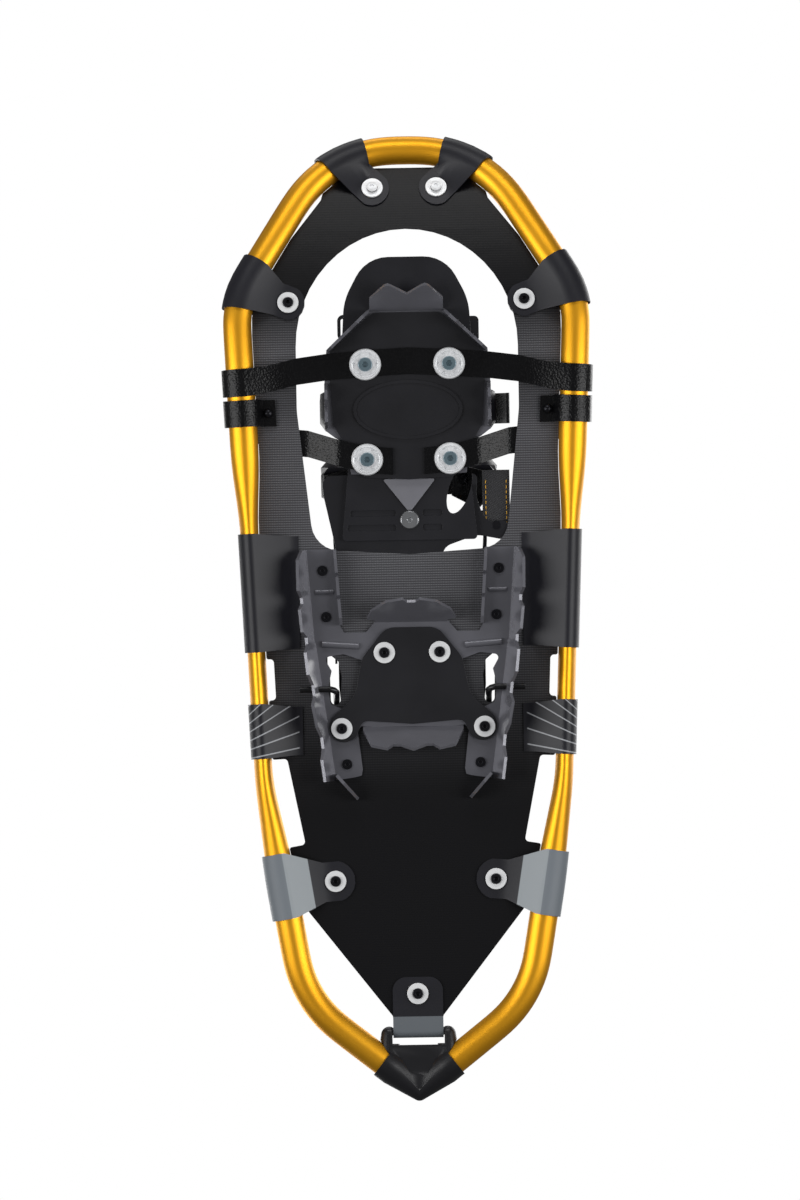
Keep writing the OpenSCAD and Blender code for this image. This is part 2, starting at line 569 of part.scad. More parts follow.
// ---- heel rest and heel lift on top of the deck ----
rest_front_y = heel_y - 60;
rest_len = 50;
rest_w = 58;
rest_h = 7;
module heel_rest_pad() {
    color("#202024") difference() {
        translate([0, 0, deck_top + touch]) union() {
            linear_extrude(rest_h - 1.2) offset(r = 6) translate([-rest_w / 2 + 6,
                rest_front_y - rest_len + 6])
                square([rest_w - 12, rest_len - 12]);
            for (k = [0:5]) translate([-rest_w / 2 + 5, rest_front_y - 6 - 8 * k,
                rest_h - 1.3]) cube([rest_w - 10, 4.5, 1.3]);
        }
        both_sides() translate([heel_rivet_spots[0].x, heel_rivet_spots[0].y, 0])
            cylinder(r = rivet_d / 2 + 3.2, h = 200);
    }
}
bail_pin_out = 10;            // how far the pins stand out of the rails
bail_x = 50;                  // legs, where they pass through the deck
bail_neck = 28;               // half-width of the loop's narrow top
bail_pin_x = 60;
bail_top_z = deck_top + wire_d / 2 + 2.2;
// A bent wire: a closed sweep of round rings along points p
module wire(p, r, sides) {
    n = len(p);
    function way(i) = unit(p[min(n - 1, i + 1)] - p[max(0, i - 1)]);
    rings = [for (i = [0:n - 1])
        let (t = way(i), a = unit(cross(t, [0.3, 0.2, 1])), b = cross(t, a),
             w = i > 0 && i < n - 1 ? 1 / max(0.8, t * unit(p[i + 1] - p[i])) : 1)
            [for (k = [0:sides - 1]) p[i] + r * w * (a * cos(360 * k / sides) + b * sin(360 * k / sides))]];
    faces = [
        for (i = [0:n - 2], k = [0:sides - 1])
            let (a = i * sides + k, b = i * sides + (k + 1) % sides)
                each [[a, b + sides, b], [a, a + sides, b + sides]],
        [for (k = [0:sides - 1]) k],
        [for (k = [sides - 1:-1:0]) (n - 1) * sides + k]];
    polyhedron([for (g = rings) each g], faces, convexity = 6);
}
module heel_lift_bail() {
    r = wire_d / 2;
    rest_y = bail_axis_y - lift_len;
    half = [[bail_pin_x - 4, bail_axis_y, bail_axis_z], [bail_x + 4, bail_axis_y, bail_axis_z],
            [bail_x + 1.4, bail_axis_y - 0.8, bail_axis_z + 1], [bail_x, bail_axis_y - 2, bail_axis_z + 3],
            [bail_x, bail_axis_y - 5.5, bail_top_z - 2.5],
            [bail_x, bail_axis_y - 8, bail_top_z - 0.4], [bail_x, bail_axis_y - 11, bail_top_z],
            [bail_x, bail_axis_y - 26, bail_top_z], [bail_x - 1.4, bail_axis_y - 30, bail_top_z],
            [bail_x - 4, bail_axis_y - 33, bail_top_z], [bail_neck + 4, bail_axis_y - 42, bail_top_z],
            [bail_neck + 1, bail_axis_y - 45, bail_top_z], [bail_neck, bail_axis_y - 49, bail_top_z],
            [bail_neck, rest_y + 5, bail_top_z], [bail_neck - 1.5, rest_y + 1.5, bail_top_z],
            [bail_neck - 5, rest_y, bail_top_z]];
    color("#2a2a2e") {
        wire(concat(half, [for (i = [len(half) - 1:-1:0]) [-half[i].x, half[i].y, half[i].z]]), r, 12);
        both_sides() translate([bail_pin_x - 5, bail_axis_y, bail_axis_z]) rotate([0, 90, 0])
            cylinder(r = r, h = bail_pin_out + 9);
    }
}

// ---- suspension straps ----
front_bolt = [27.6, axis_y];
rear_bolt = [27.3, axis_y - 62.5];
bolt_spots = [front_bolt, rear_bolt];
ice_plate_z = toe_plate_z - touch - ice_t;
strap_z = ice_plate_z - touch - strap_t;          // underside of the straps at the binding
strap_rivet_r = 2.5;
tube_turn_y = axis_y - 11;
rear_turn_y = axis_y - 31;
// Half of the front strap, from the middle outward: [x, y, height of its upper face above the tube's centreline]
front_line = [[0, axis_y + 2], [27.6, axis_y + 0.5], [54, axis_y - 1.5], [toe_half, axis_y - 4],
    [half_w - 17, axis_y - 9]];
strap_end_in = 22;            // how far a strap comes back past the tube's centreline
strap_lift_in = 14;           // where it lifts off the deck towards the tube
strap_head_r = 3.2;
function strap_row(line, turn_y, top_side, v, off) =
    let (dy = v * strap_w / 2, s = s_at(turn_y - dy), p = at(s), t = along(s), n = inward(p, t),
        c = surf(p, 0),
         u = unit(cross(n, tangent(p, t))), up_sign = top_side ? 1 : -1,
         a = half_wide(p.y) + gap + off, b = half_tall(p.y) + gap + off,
         last = line[len(line) - 1],
         come = [last.x, last.y - dy, last[2] + up_sign * off] - c,
         flat = up_sign > 0 ? deck_low - touch - off : deck_low + deck_t + touch + off,
         leave = surf([p.x - strap_lift_in, p.y], flat) - c,
         q0 = [come * n / a, come * u / b], q1 = [leave * n / a, leave * u / b],
         f0 = atan2(q0.y, q0.x) + up_sign * acos(1 / norm(q0)),
         f1 = atan2(q1.y, q1.x) - up_sign * acos(1 / norm(q1)) + up_sign * 360)
    concat([for (q = line) [q.x, q.y - dy, q[2] + up_sign * off]],
           [for (k = [0:9]) let (f = f0 + (f1 - f0) * k / 9) c + n * a * cos(f) + u * b * sin(f)],
           [c + leave, surf([p.x - strap_end_in, p.y], flat)]);
strap_rows = [-1, -0.5, 0, 0.5, 1];
module front_suspension_strap() {
    line = [for (i = [0:4]) [front_line[i].x, front_line[i].y, strap_z + strap_t - (i == 4 ? 1 : 0)]];
    color("#111113") difference() {
        union() both_sides()
            thick([for (v = strap_rows) strap_row(line, tube_turn_y, false, v, strap_t)],
                  [for (v = strap_rows) strap_row(line, tube_turn_y, false, v, 0)]);
        both_sides() {
            translate([front_bolt.x, front_bolt.y, 0]) cylinder(r = bolt_d / 2 + touch, h = 24);
            on_surface(front_strap_rivet, 0) cylinder(r = strap_rivet_r + 0.3, h = 26);
        }
    }
}
front_strap_rivet = at(s_at(tube_turn_y)) - [strap_end_in - 5, 0];
strap_rivet_spot = at(s_at(rear_turn_y)) - [strap_end_in - 5, 0];
module rear_suspension_strap() {
    low = strap_z;
    high = deck_top + touch;
    line = [[rear_bolt.x - 17, rear_bolt.y - 1.5, low], [rear_bolt.x, rear_bolt.y, low],
        [47, rear_bolt.y + 5, low],
            [toe_half - 7, rear_bolt.y + 11, high], [half_w - strap_lift_in, rear_bolt.y + 14, high]];
    color("#111113") difference() {
        thick([for (v = strap_rows) strap_row(line, rear_turn_y, true, v, strap_t)],
              [for (v = strap_rows) strap_row(line, rear_turn_y, true, v, 0)]);
        translate([rear_bolt.x, rear_bolt.y, 0]) cylinder(r = bolt_d / 2 + touch, h = 24);
        surface_hole(strap_rivet_spot, strap_rivet_r + 0.3);
    }
}
module dome(r, h) intersection() {
    translate([0, 0, -(r * r - h * h) / (2 * h)]) sphere(r = (r * r + h * h) / (2 * h));
    cylinder(r = r + 1, h = 2 * h);
}
module suspension_strap_rivets() {
    low = deck_low - 2 * touch - strap_t;
    high = deck_low + deck_t + 2 * touch + strap_t;
    color("silver") both_sides() {
        on_surface(strap_rivet_spot, 0) {
            translate([0, 0, low - 0.3]) mirror([0, 0, 1]) dome(strap_head_r, 1.9);
            translate([0, 0, low - 0.8]) cylinder(r = strap_rivet_r, h = high - low + 1.6);
            translate([0, 0, high + 0.3]) dome(strap_head_r, 1.9);
        }
        on_surface(front_strap_rivet, 0) {
            translate([0, 0, deck_low - touch - 1]) cylinder(r1 = 2.7, r2 = strap_head_r, h = 1);
            translate([0, 0, deck_low - 0.5]) cylinder(r = strap_rivet_r, h = high - deck_low + 1.3);
            translate([0, 0, high + 0.3]) dome(strap_head_r, 1.9);
        }
    }
}

// ---- binding ----
footbed_z = toe_plate_z + steel_t + touch;
footbed_t = deck_top + touch - footbed_z + 0.25;
footbed_top = footbed_z + footbed_t;
half_bed = footbed_w / 2;
crampon_half = [[0, axis_y + 36], [25, axis_y + 36], [53, axis_y + 9.5], [54.5, axis_y - 10],
    [54.5, axis_y - 43],
                [48, axis_y - 48], [40, axis_y - 52], [38, axis_y - 72], [0, axis_y - 74]];
m_teeth = [[0, 0.44], [0.19, 0.95], [0.24, 1], [0.29, 0.95], [0.487, 0.62], [0.7, 0.95], [0.75, 1],
    [0.8, 0.95], [1, 0.44]];
angled_teeth = [[0, 0.5], [0.1, 0.95], [0.3, 1], [0.42, 0.6], [0.55, 0.6], [0.72, 0.98], [0.88, 0.9],
    [1, 0.3]];
side_teeth = [[0, 0.3], [0.15, 0.95], [0.35, 1], [0.5, 0.6], [0.62, 0.98], [0.85, 1], [1, 0.4]];
m_lean = 42;
module toe_crampon() {
    color("gray") difference() {
        union() {
            translate([0, 0, toe_plate_z]) linear_extrude(steel_t) mirrored_outline(crampon_half);
            blade([-24.2, axis_y + 35.6], [24.2, axis_y + 35.6], toe_plate_z,
                tooth_len / cos(m_lean) - 3.2, m_teeth, m_lean, steel_t);
            both_sides() mirror([1, 0, 0]) {
                blade([-53, axis_y + 9.5], [-25.6, axis_y + 35.4], toe_plate_z, tooth_len, angled_teeth, 0,
                    steel_t);
            }
            both_sides() blade([54.5, axis_y - 12], [54.5, axis_y - 42], toe_plate_z, tooth_len,
                side_teeth, 0, steel_t);
        }
        both_sides() {
            for (p = bolt_spots) translate([p.x, p.y, 0]) cylinder(r = bolt_d / 2 + touch, h = 40);
            for (p = wing_rivet_spots) translate([p.x, p.y, 0]) cylinder(r = wing_head_r + 0.2, h = 40);
        }
    }
}
toe_ice_half = rounded([[0, axis_y + 34, 0], [22, axis_y + 34, 10], [51, axis_y + 8, 6],
    [51, axis_y - 10, 6], [49, axis_y - 40, 12],
                        [36, axis_y - 62, 14], [36, axis_y - 74, 10], [0, axis_y - 76, 0]], 5);
pad_mid_y = axis_y - 30;
function ellipse(a, b) = [for (f = [0:12:348]) [a * cos(f), b * sin(f)]];
module toe_ice_plate() {
    color("#202024") difference() {
        union() {
            translate([0, 0, ice_plate_z]) linear_extrude(ice_t) mirrored_outline(toe_ice_half);
            translate([0, pad_mid_y, ice_plate_z - 1.6]) linear_extrude(2) difference() {
                polygon(ellipse(36, 19.5));
                polygon(ellipse(34, 17.5));
            }
            translate([0, pad_mid_y, ice_plate_z - 0.8]) linear_extrude(1.2) polygon(ellipse(34.5, 18));
        }
        both_sides() for (p = bolt_spots) translate([p.x, p.y, 0]) cylinder(r = bolt_d / 2 + touch, h = 40);
    }
}
flange_t = 1.5;
flange_z = strap_z - touch - flange_t;
module flange_washers() {
    color("gainsboro") both_sides() for (p = bolt_spots) translate([p.x, p.y, flange_z]) difference() {
        union() {
            cylinder(r1 = flange_d / 2 - 0.6, r2 = flange_d / 2, h = flange_t);
            translate([0, 0, -0.8]) cylinder(r = bolt_d / 2 + 2.6, h = 1);
        }
        translate([0, 0, -2]) cylinder(r = bolt_d / 2 + touch, h = 10);
        for (a = [0:60:300]) rotate([0, 0, a]) translate([flange_d / 2 - 3, 0, -0.5]) cylinder(r = 1.1,
            h = 1, $fn = 16);
    }
}
module binding_bolts() {
    low = flange_z - 0.8 - touch;
    color("silver") both_sides() for (p = bolt_spots) translate([p.x, p.y, 0]) difference() {
        union() {
            translate([0, 0, low - 1.6]) cylinder(r1 = bolt_d / 2 + 1.2, r2 = bolt_d / 2 + 1.7, h = 1.6);
            translate([0, 0, low - 0.01]) cylinder(r = bolt_d / 2, h = footbed_top - low + 0.01);
        }
        translate([0, 0, low - 3]) cylinder(r = bolt_d / 2 - 0.8, h = 4, $fn = 6);
    }
}
module binding_nuts() {
    color("silver") both_sides() for (p = bolt_spots) translate([p.x, p.y,
        footbed_top + touch]) difference() {
        cylinder(r1 = bolt_d / 2 + 3.2, r2 = bolt_d / 2 + 2.4, h = 1.3);
        translate([0, 0, -1]) cylinder(r = bolt_d / 2 - 0.4, h = 4);
    }
}
bed_half = rounded([[0, axis_y + 70.5, 0], [26, axis_y + 70.5, 24], [41, axis_y + 42, 40],
    [half_bed - 1, axis_y + 8, 40],
                    [half_bed, axis_y - 30, 40], [half_bed - 4, axis_y - 70, 20],
                        [half_bed - 2, axis_y - 90, 14],
                    [half_bed + 0.5, heel_y + 5.2, 2.5], [0, heel_y + 5.2, 0]], 6);
// start x, y and length of each groove
bed_grooves = [[10.5, heel_y + 22.5, 27], [10.5, heel_y + 13, 29], [-20, heel_y + 22.5, 10],
    [-20, heel_y + 13, 10]];
module footbed() {
    color("#26262b") difference() {
        union() {
            translate([0, 0, footbed_z]) linear_extrude(footbed_t) mirrored_outline(bed_half);
            // grip ribs under the ball of the foot
            for (k = [0:6]) translate([-30, axis_y - 42 + 7 * k, footbed_top - 0.2]) cube([60, 3, 1.2]);
        }
        both_sides() for (p = bolt_spots) translate([p.x, p.y, 0]) {
            cylinder(r = bolt_d / 2 + touch, h = 60);
            translate([0, 0, footbed_top]) cylinder(r = bolt_d / 2 + 3.6, h = 8);
        }
        translate([0, tongue_screw_y, 0]) cylinder(r = screw_r + touch, h = 60);
        tongue_window();
        // grooves across the heel end
        for (g = bed_grooves) translate([g.x, g[1], footbed_z - 1]) linear_extrude(2.4)
            offset(r = 1.5) square([g[2], 1]);
        both_sides() for (p = wing_rivet_spots) translate([p.x, p.y,
            0]) cylinder(r = small_rivet_r + touch, h = 60);
    }
}
// ---- heel tongue, a moulding that runs back over the deck ----
tongue_t = 3;
tongue_z = footbed_top + touch;
tongue_screw_y = heel_y + 18.5;
screw_r = 2.5;
tail_spot = [-57, heel_y + 14];           // where the loose webbing is riveted down
tongue_outline = [
    [44, axis_y - 72.5, 4], [57.5, axis_y - 73, 6], [56, axis_y - 88, 10], [49.5, heel_y + 3, 20],
        [47, heel_y - 16, 6],
    [-22, heel_y - 16, 5], [-21, heel_y, 8], [-44, heel_y + 8, 14], [-64, heel_y + 4, 5],
        [-66, heel_y + 19, 5],
    [-50, heel_y + 15, 8], [-44, axis_y - 88, 20], [-45, axis_y - 72.5, 4]];
function closed_corner(v, i) =
    let (n = len(v), a = v[(i + n - 1) % n], b = v[i], c = v[(i + 1) % n])
    corner([a.x, a.y], [b.x, b.y], [c.x, c.y], b[2], 5);
module tongue_window() translate([-33, axis_y - 83, 0]) rotate([0, 0,
    19]) linear_extrude(80) polygon(ellipse(7, 16.5));
module heel_tongue() {
    color("#26262b") difference() {
        union() {
            translate([0, 0, tongue_z]) linear_extrude(tongue_t)
                polygon([for (i = [0:len(tongue_outline) - 1]) each closed_corner(tongue_outline, i)]);
            for (k = [0:3]) translate([-14, heel_y - 12 + 4.6 * k, tongue_z + tongue_t - 0.2]) cube([52,
                2.4, 1]);
        }
        tongue_window();
        translate([0, tongue_screw_y, 0]) cylinder(r = screw_r + touch, h = 60);
        translate([tail_spot.x, tail_spot.y, 0]) cylinder(r = small_rivet_r + touch, h = 60);
    }
}
badge_half = [17.6, 20.5];
module tongue_badge() {
    color("gray") translate([0, axis_y - 75.5, footbed_z - touch - 1.2]) linear_extrude(1.2)
        offset(r = 1) offset(delta = -1) polygon([[-badge_half.x, 0], [badge_half.x, 0],
            [1.5, -badge_half.y], [-1.5, -badge_half.y]]);
}
module tongue_screw() {
    color("silver") translate([0, tongue_screw_y, 0]) difference() {
        union() {
            translate([0, 0, footbed_z - touch - 1.5]) cylinder(r1 = 5.6, r2 = 6.5, h = 1.5);
            translate([0, 0, footbed_z - touch - 0.01]) cylinder(r = screw_r,
                h = footbed_t + tongue_t + 3 * touch + 0.02);
            translate([0, 0, tongue_z + tongue_t + touch]) cylinder(r1 = 5, r2 = 4.4, h = 1.4);
        }
        translate([0, 0, footbed_z - 3]) cylinder(r = 1.7, h = 2.4, $fn = 6);
    }
}
// ---- toe cap ----
cap_y = axis_y + 28;
cap_half = half_bed - 5.5;
cap_len = 40;
cap_wall = 2.4;
cap_rows = [[0, 1], [7, 1.03], [16, 1.02], [25, 0.97], [31, 0.88], [34, 0.76]];
cap_from = -22;
module toe_cap() {
    function cap(h, k, f, off) = [(cap_half * k - off) * cos(f), cap_y + (cap_len * k - off) * sin(f),
        footbed_top + touch + h];
    outer = [for (r = cap_rows) [for (j = [0:20]) cap(r[0], r[1], cap_from + (180 - 2 * cap_from) * j / 20,
        0)]];
    inner = [for (r = cap_rows) [for (j = [0:20]) cap(r[0] - (r[0] > 20 ? 1 : 0), r[1],
        cap_from + (180 - 2 * cap_from) * j / 20, cap_wall)]];
    color("#1f1f24") union() {
        thick(outer, inner);
        // strap guides at the sides
        translate([cap_half - 2, cap_y - 12, footbed_top + 8]) difference() {
            linear_extrude(13) offset(r = 4) translate([0, 4]) square([5, 9]);
            translate([0, 0, -1]) linear_extrude(20) translate([2.4, 3]) offset(r = 1.4) square([3, 10]);
        }
        translate([-cap_half - 9, cap_y - 14, footbed_top + 9]) linear_extrude(10) offset(r = 3)
            translate([3, 3]) square([5, 11]);
    }
}
// ---- upper harness, shaped round a boot ----
lobe_y = [axis_y - 30, axis_y - 76];
boot_mid_z = footbed_top + 24;
lobe_rear_y = lobe_y[1] - (lobe_y[0] - lobe_y[1]) / 2;        // the wings stay narrow behind this
function lobe(y) = y < lobe_rear_y ? 0 : ease(1.7 * pow(cos(180 * (y - lobe_y[0])
    / (lobe_y[0] - lobe_y[1])), 2));
function boot_half(y) = half_bed + 1 + 13 * lobe(y);
function boot_tall(y) = 42 + 0.12 * (axis_y - 20 - y);
function boot(a, y, off) = [(boot_half(y) + off) * cos(a), y, boot_mid_z + (boot_tall(y) + off) * sin(a)];
wing_t = 2.6;
wing_front_y = axis_y - 14;
wing_rear_y = axis_y - 111;
foot_rear_y = axis_y - 70;                // the wings stand on the footbed ahead of this
function wing_top(y) = 26 + 34 * lobe(y);
function wing_col(y, off) =
    let (base = footbed_top + touch + (off < 0 ? wing_t : 0), fixed = y > foot_rear_y,
         low = fixed ? -24 : -12)
    concat(fixed ? [[half_bed - 9, y, base], [half_bed - 3, y, base]] : [boot(low - 4, y, off),
        boot(low - 2, y, off)],
           [for (j = [0:8]) boot(low + (wing_top(y) - low) * j / 8, y, off)]);
wing_cols = [for (k = [0:20]) wing_front_y + (wing_rear_y - wing_front_y) * k / 20];
small_rivet_r = 2;
wing_head_r = 2.9;
wing_rivet_spots = [[half_bed - 6, axis_y - 22], [half_bed - 6, axis_y - 46], [half_bed - 6, axis_y - 61]];
heel_pivot_y = lobe_y[1] - 25;
heel_pivot_z = boot_mid_z - 3;
pivot_r = 4;
web_t = 1.8;
web_off = 0.35;
web_rivet_a = 50;
module web_rivet_hole(y, r) {
    p = boot(web_rivet_a, y, 0);
    turn = atan2(p.x / pow(boot_half(y), 2), (p.z - boot_mid_z) / pow(boot_tall(y), 2));
    translate(p) rotate([0, turn, 0]) translate([0, 0, -10]) cylinder(r = r, h = 20);
}
module harness_wing() {
    color("#26262b") difference() {
        thick([for (y = wing_cols) wing_col(y, 0)], [for (y = wing_cols) wing_col(y, -wing_t)]);
        for (p = wing_rivet_spots) translate([p.x, p.y,
            footbed_top - 2]) cylinder(r = small_rivet_r + touch, h = 9);
        translate([0, heel_pivot_y, heel_pivot_z]) rotate([0, 90, 0]) cylinder(r = pivot_r + touch,
            h = 100);
        for (y = lobe_y) web_rivet_hole(y, small_rivet_r + touch);
    }
}
module harness_wing_left() {
    color("#26262b") difference() {
        mirror([1, 0, 0]) harness_wing();
        tongue_window();
    }
}
module wing_rivets() {
    color("silver") {
        both_sides() {
            for (p = wing_rivet_spots) translate([p.x, p.y, 0]) {
                translate([0, 0, footbed_z - touch - 0.9]) cylinder(r = wing_head_r, h = 0.9);
                translate([0, 0, footbed_z - touch - 0.01]) cylinder(r = small_rivet_r,
                    h = footbed_t + wing_t + 3 * touch + 0.02);
                translate([0, 0, footbed_top + wing_t + 2 * touch]) cylinder(r1 = 2.8, r2 = 2.4, h = 1.1);
            }
            for (y = lobe_y) {
                p = boot(web_rivet_a, y, 0);
                turn = atan2(p.x / pow(boot_half(y), 2), (p.z - boot_mid_z) / pow(boot_tall(y), 2));
                translate(p) rotate([0, turn, 0]) {
                    translate([0, 0, -wing_t - 1.3]) cylinder(r = 3.6, h = 1);
                    translate([0, 0, -wing_t - 0.4]) cylinder(r = small_rivet_r,
                        h = wing_t + web_off + web_t + 0.7);
                    translate([0, 0, web_off + web_t + 0.2]) cylinder(r1 = 3.8, r2 = 3, h = 1.2);
                }
            }
        }
        translate([tail_spot.x, tail_spot.y, 0]) {
            translate([0, 0, tongue_z - touch - 0.3]) cylinder(r = 2.9, h = 0.3);
            translate([0, 0, tongue_z - touch - 0.01]) cylinder(r = small_rivet_r,
                h = tongue_t + web_t + 3 * touch + 0.02);
            translate([0, 0, tongue_z + tongue_t + web_t + 2 * touch]) cylinder(r1 = 3.4, r2 = 3, h = 1.1);
        }
    }
}
// Webbing over the boot, from wing to wing, with an optional loose end on the left
module boot_webbing(y, loose) {
    angles = concat([for (k = [0:13]) 38 + (142 - 38) * k / 13],
        loose > 0 ? [152, 162, 172, 182, 190, 196] : []);
    function swell(a) = loose * pow(max(0, a - 142) / 54, 1.2);
    color("#1a1a1c") difference() {
        thick([for (v = [-1, 0, 1]) [for (a = angles) boot(a, y + v * webbing_w / 2,
            web_off + web_t + swell(a))]],
              [for (v = [-1, 0, 1]) [for (a = angles) boot(a, y + v * webbing_w / 2, web_off + swell(a))]]);
        both_sides() web_rivet_hole(y, small_rivet_r + touch);
    }
}
module toe_webbing() boot_webbing(lobe_y[0], 9);
module instep_webbing() boot_webbing(lobe_y[1], 0);
module heel_webbing() {
    spots = [[tail_spot.y - 6, tongue_z + tongue_t + touch], [tail_spot.y + 5, tongue_z + tongue_t + touch],
             [tail_spot.y + 13, tongue_z + tongue_t + 0.3],
                 [tail_spot.y + 36.4, tongue_z + tongue_t + 0.5]];
    color("#1a1a1c") difference() {
        translate([tail_spot.x - 9, 0, 0]) rotate([90, 0, 90]) linear_extrude(18)
            polygon(concat(spots, [for (i = [3:-1:0]) spots[i] + [0, web_t]]));
        translate([tail_spot.x, tail_spot.y, 0]) cylinder(r = small_rivet_r + touch, h = 60);
    }
}

// ---- cam buckles: a body with two cheeks, a pin and a lever ----
pin_r = 1.6;
cheek = 2.2;
cheek_gap = 0.35;
buckle_in = webbing_w / 2 + 1.5;          // half the space between the cheeks
pin_at = [5, 6.2];
lever_len = 23;
base_lift = 0.7;
module buckle_body() {
    difference() {
        union() {
            translate([-11, -buckle_in - cheek, base_lift]) cube([24, 2 * (buckle_in + cheek), 1.4]);
            for (s = [-1, 1]) hull() {
                translate([pin_at.x, s * (buckle_in + cheek / 2), pin_at.y]) rotate([90, 0,
                    0]) cylinder(r = 4, h = cheek, center = true);
                translate([-6, s * (buckle_in + cheek / 2) - cheek / 2, base_lift]) cube([19, cheek, 1.4]);
            }
        }
        translate([pin_at.x, 0, pin_at.y]) rotate([90, 0, 0]) cylinder(r = pin_r + touch, h = 80,
            center = true);
    }
}
module buckle_lever() {
    w = 2 * (buckle_in - cheek_gap);
    difference() {
        union() {
            translate([pin_at.x, 0, pin_at.y]) rotate([90, 0, 0]) cylinder(r = 3.6, h = w, center = true);
            translate([pin_at.x - lever_len, -w / 2, pin_at.y + 1]) cube([lever_len, w, 2.6]);
            translate([pin_at.x - lever_len, -w / 2, pin_at.y + 2.6]) rotate([0, 0, 0]) cube([3, w, 2.2]);
        }
        translate([pin_at.x, 0, pin_at.y]) rotate([90, 0, 0]) cylinder(r = pin_r + touch, h = 80,
            center = true);
    }
}
module buckle_pin() {
    translate([pin_at.x, 0, pin_at.y]) rotate([90, 0, 0]) cylinder(r = pin_r,
        h = 2 * (buckle_in + cheek) + 0.6, center = true);
}
// Puts a buckle on top of the webbing round the boot
buckle_a = 84;
module on_webbing(y) {
    p = boot(buckle_a, y, web_off + web_t + 0.25);
    turn = atan2(p.x / pow(boot_half(y), 2), (p.z - boot_mid_z) / pow(boot_tall(y), 2));
    translate(p) rotate([0, turn, 0]) children();
}
module toe_buckle() color("#303036") on_webbing(lobe_y[0]) buckle_body();
module toe_buckle_lever() color("goldenrod") on_webbing(lobe_y[0]) buckle_lever();
module toe_buckle_pin() color("silver") on_webbing(lobe_y[0]) buckle_pin();
module instep_buckle() color("#303036") on_webbing(lobe_y[1]) buckle_body();
module instep_buckle_lever() color("goldenrod") on_webbing(lobe_y[1]) buckle_lever();
module instep_buckle_pin() color("silver") on_webbing(lobe_y[1]) buckle_pin();

// ---- heel strap ----
heel_strap_t = 2.4;
heel_strap_tilt = 14;
heel_strap_x = half_bed + 4.2;            // inner face at the pivots
heel_strap_back = 153;
heel_in_x = 46;
heel_eye = 8;                             // radius of the strap's ends
heel_line = dense(rounded([[heel_strap_x, heel_eye, 0], [heel_strap_x, -14, 60], [heel_in_x, -50, 60],
                           [heel_in_x, -heel_strap_back, 42], [0, -heel_strap_back, 0]], 8), 40);
function outward(p, d) = [for (i = [0:len(p) - 1])
    let (a = p[max(0, i - 1)], b = p[min(len(p) - 1, i + 1)], t = unit(b - a)) p[i] + d * [-t.y, t.x]];
function whole(half) = concat(half, [for (i = [len(half) - 2:-1:0]) flip(half[i])]);
module with_heel_strap() translate([0, heel_pivot_y, heel_pivot_z]) rotate([-heel_strap_tilt, 0,
    0]) children();
module heel_strap() {
    near = whole(heel_line);
    far = whole(outward(heel_line, heel_strap_t));
    wide = webbing_w / 2 + 1;
    side = concat([for (f = [-80:20:80]) heel_eye * [cos(f), sin(f)]],
                  [[-24, 8], [-56, wide], [-heel_strap_back - 9, wide], [-heel_strap_back - 9, -wide],
                      [-56, -wide], [-24, -8]]);
    color("#26262b") with_heel_strap() difference() {
        intersection() {
            translate([0, 0, -wide - 1]) linear_extrude(2 * wide + 2)
                polygon(concat(near, [for (i = [len(far) - 1:-1:0]) far[i]]));
            rotate([90, 0, 90]) translate([0, 0, -100]) linear_extrude(200) polygon(side);
        }
        translate([-100, 0, 0]) rotate([0, 90, 0]) cylinder(r = pivot_r + touch, h = 200);
    }
}
module heel_strap_pivots() {
    wing_x = boot_half(heel_pivot_y);
    color("silver") both_sides() translate([0, heel_pivot_y, heel_pivot_z]) rotate([0, 90, 0]) {
        translate([0, 0, wing_x - wing_t - 1.9]) cylinder(r = pivot_r + 1.6, h = 1);
        translate([0, 0, wing_x - wing_t - 1]) cylinder(r = pivot_r,
            h = heel_strap_x + heel_strap_t + wing_t + 1.3 - wing_x);
        translate([0, 0, heel_strap_x + heel_strap_t + 0.25]) cylinder(r1 = pivot_r + 2.2,
            r2 = pivot_r + 1.4, h = 1.4);
    }
}
heel_buckle_back = 84;
module on_heel_strap() with_heel_strap()
    translate([heel_in_x + heel_strap_t + 0.1, -heel_buckle_back, 0]) rotate([90, 0, 90]) children();
module heel_buckle() color("#303036") on_heel_strap() buckle_body();
module heel_buckle_lever() color("goldenrod") on_heel_strap() buckle_lever();
module heel_buckle_pin() color("silver") on_heel_strap() buckle_pin();

frame_tube();
tail_connector();
deck();
mirror([1, 0, 0]) toe_wrap();  // toe_wrap_left
toe_wrap();  // toe_wrap_right
mirror([1, 0, 0]) shoulder_wrap();  // shoulder_wrap_left
shoulder_wrap();  // shoulder_wrap_right
mirror([1, 0, 0]) waist_wrap();  // waist_wrap_left
waist_wrap();  // waist_wrap_right
mirror([1, 0, 0]) striped_wrap();  // striped_wrap_left
striped_wrap();  // striped_wrap_right
mirror([1, 0, 0]) rear_wrap();  // rear_wrap_left
rear_wrap();  // rear_wrap_right
tail_wrap();
wrap_washers();
wrap_rivets();
heel_traction_plate();
heel_ice_plate();
heel_washers();
heel_rivets();
rail_rivets();
heel_rest_pad();
heel_lift_bail();
front_suspension_strap();
mirror([1, 0, 0]) rear_suspension_strap();  // rear_suspension_strap_left
rear_suspension_strap();  // rear_suspension_strap_right
suspension_strap_rivets();
footbed();
toe_ice_plate();
toe_crampon();
flange_washers();
binding_bolts();
binding_nuts();
heel_tongue();
tongue_badge();
tongue_screw();
toe_cap();
harness_wing_left();
harness_wing();  // harness_wing_right
wing_rivets();
heel_webbing();
toe_webbing();
toe_buckle();
toe_buckle_lever();
toe_buckle_pin();
instep_webbing();
instep_buckle();
instep_buckle_lever();
instep_buckle_pin();
heel_strap();
heel_strap_pivots();
heel_buckle();
heel_buckle_lever();
heel_buckle_pin();
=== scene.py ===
import json
import math

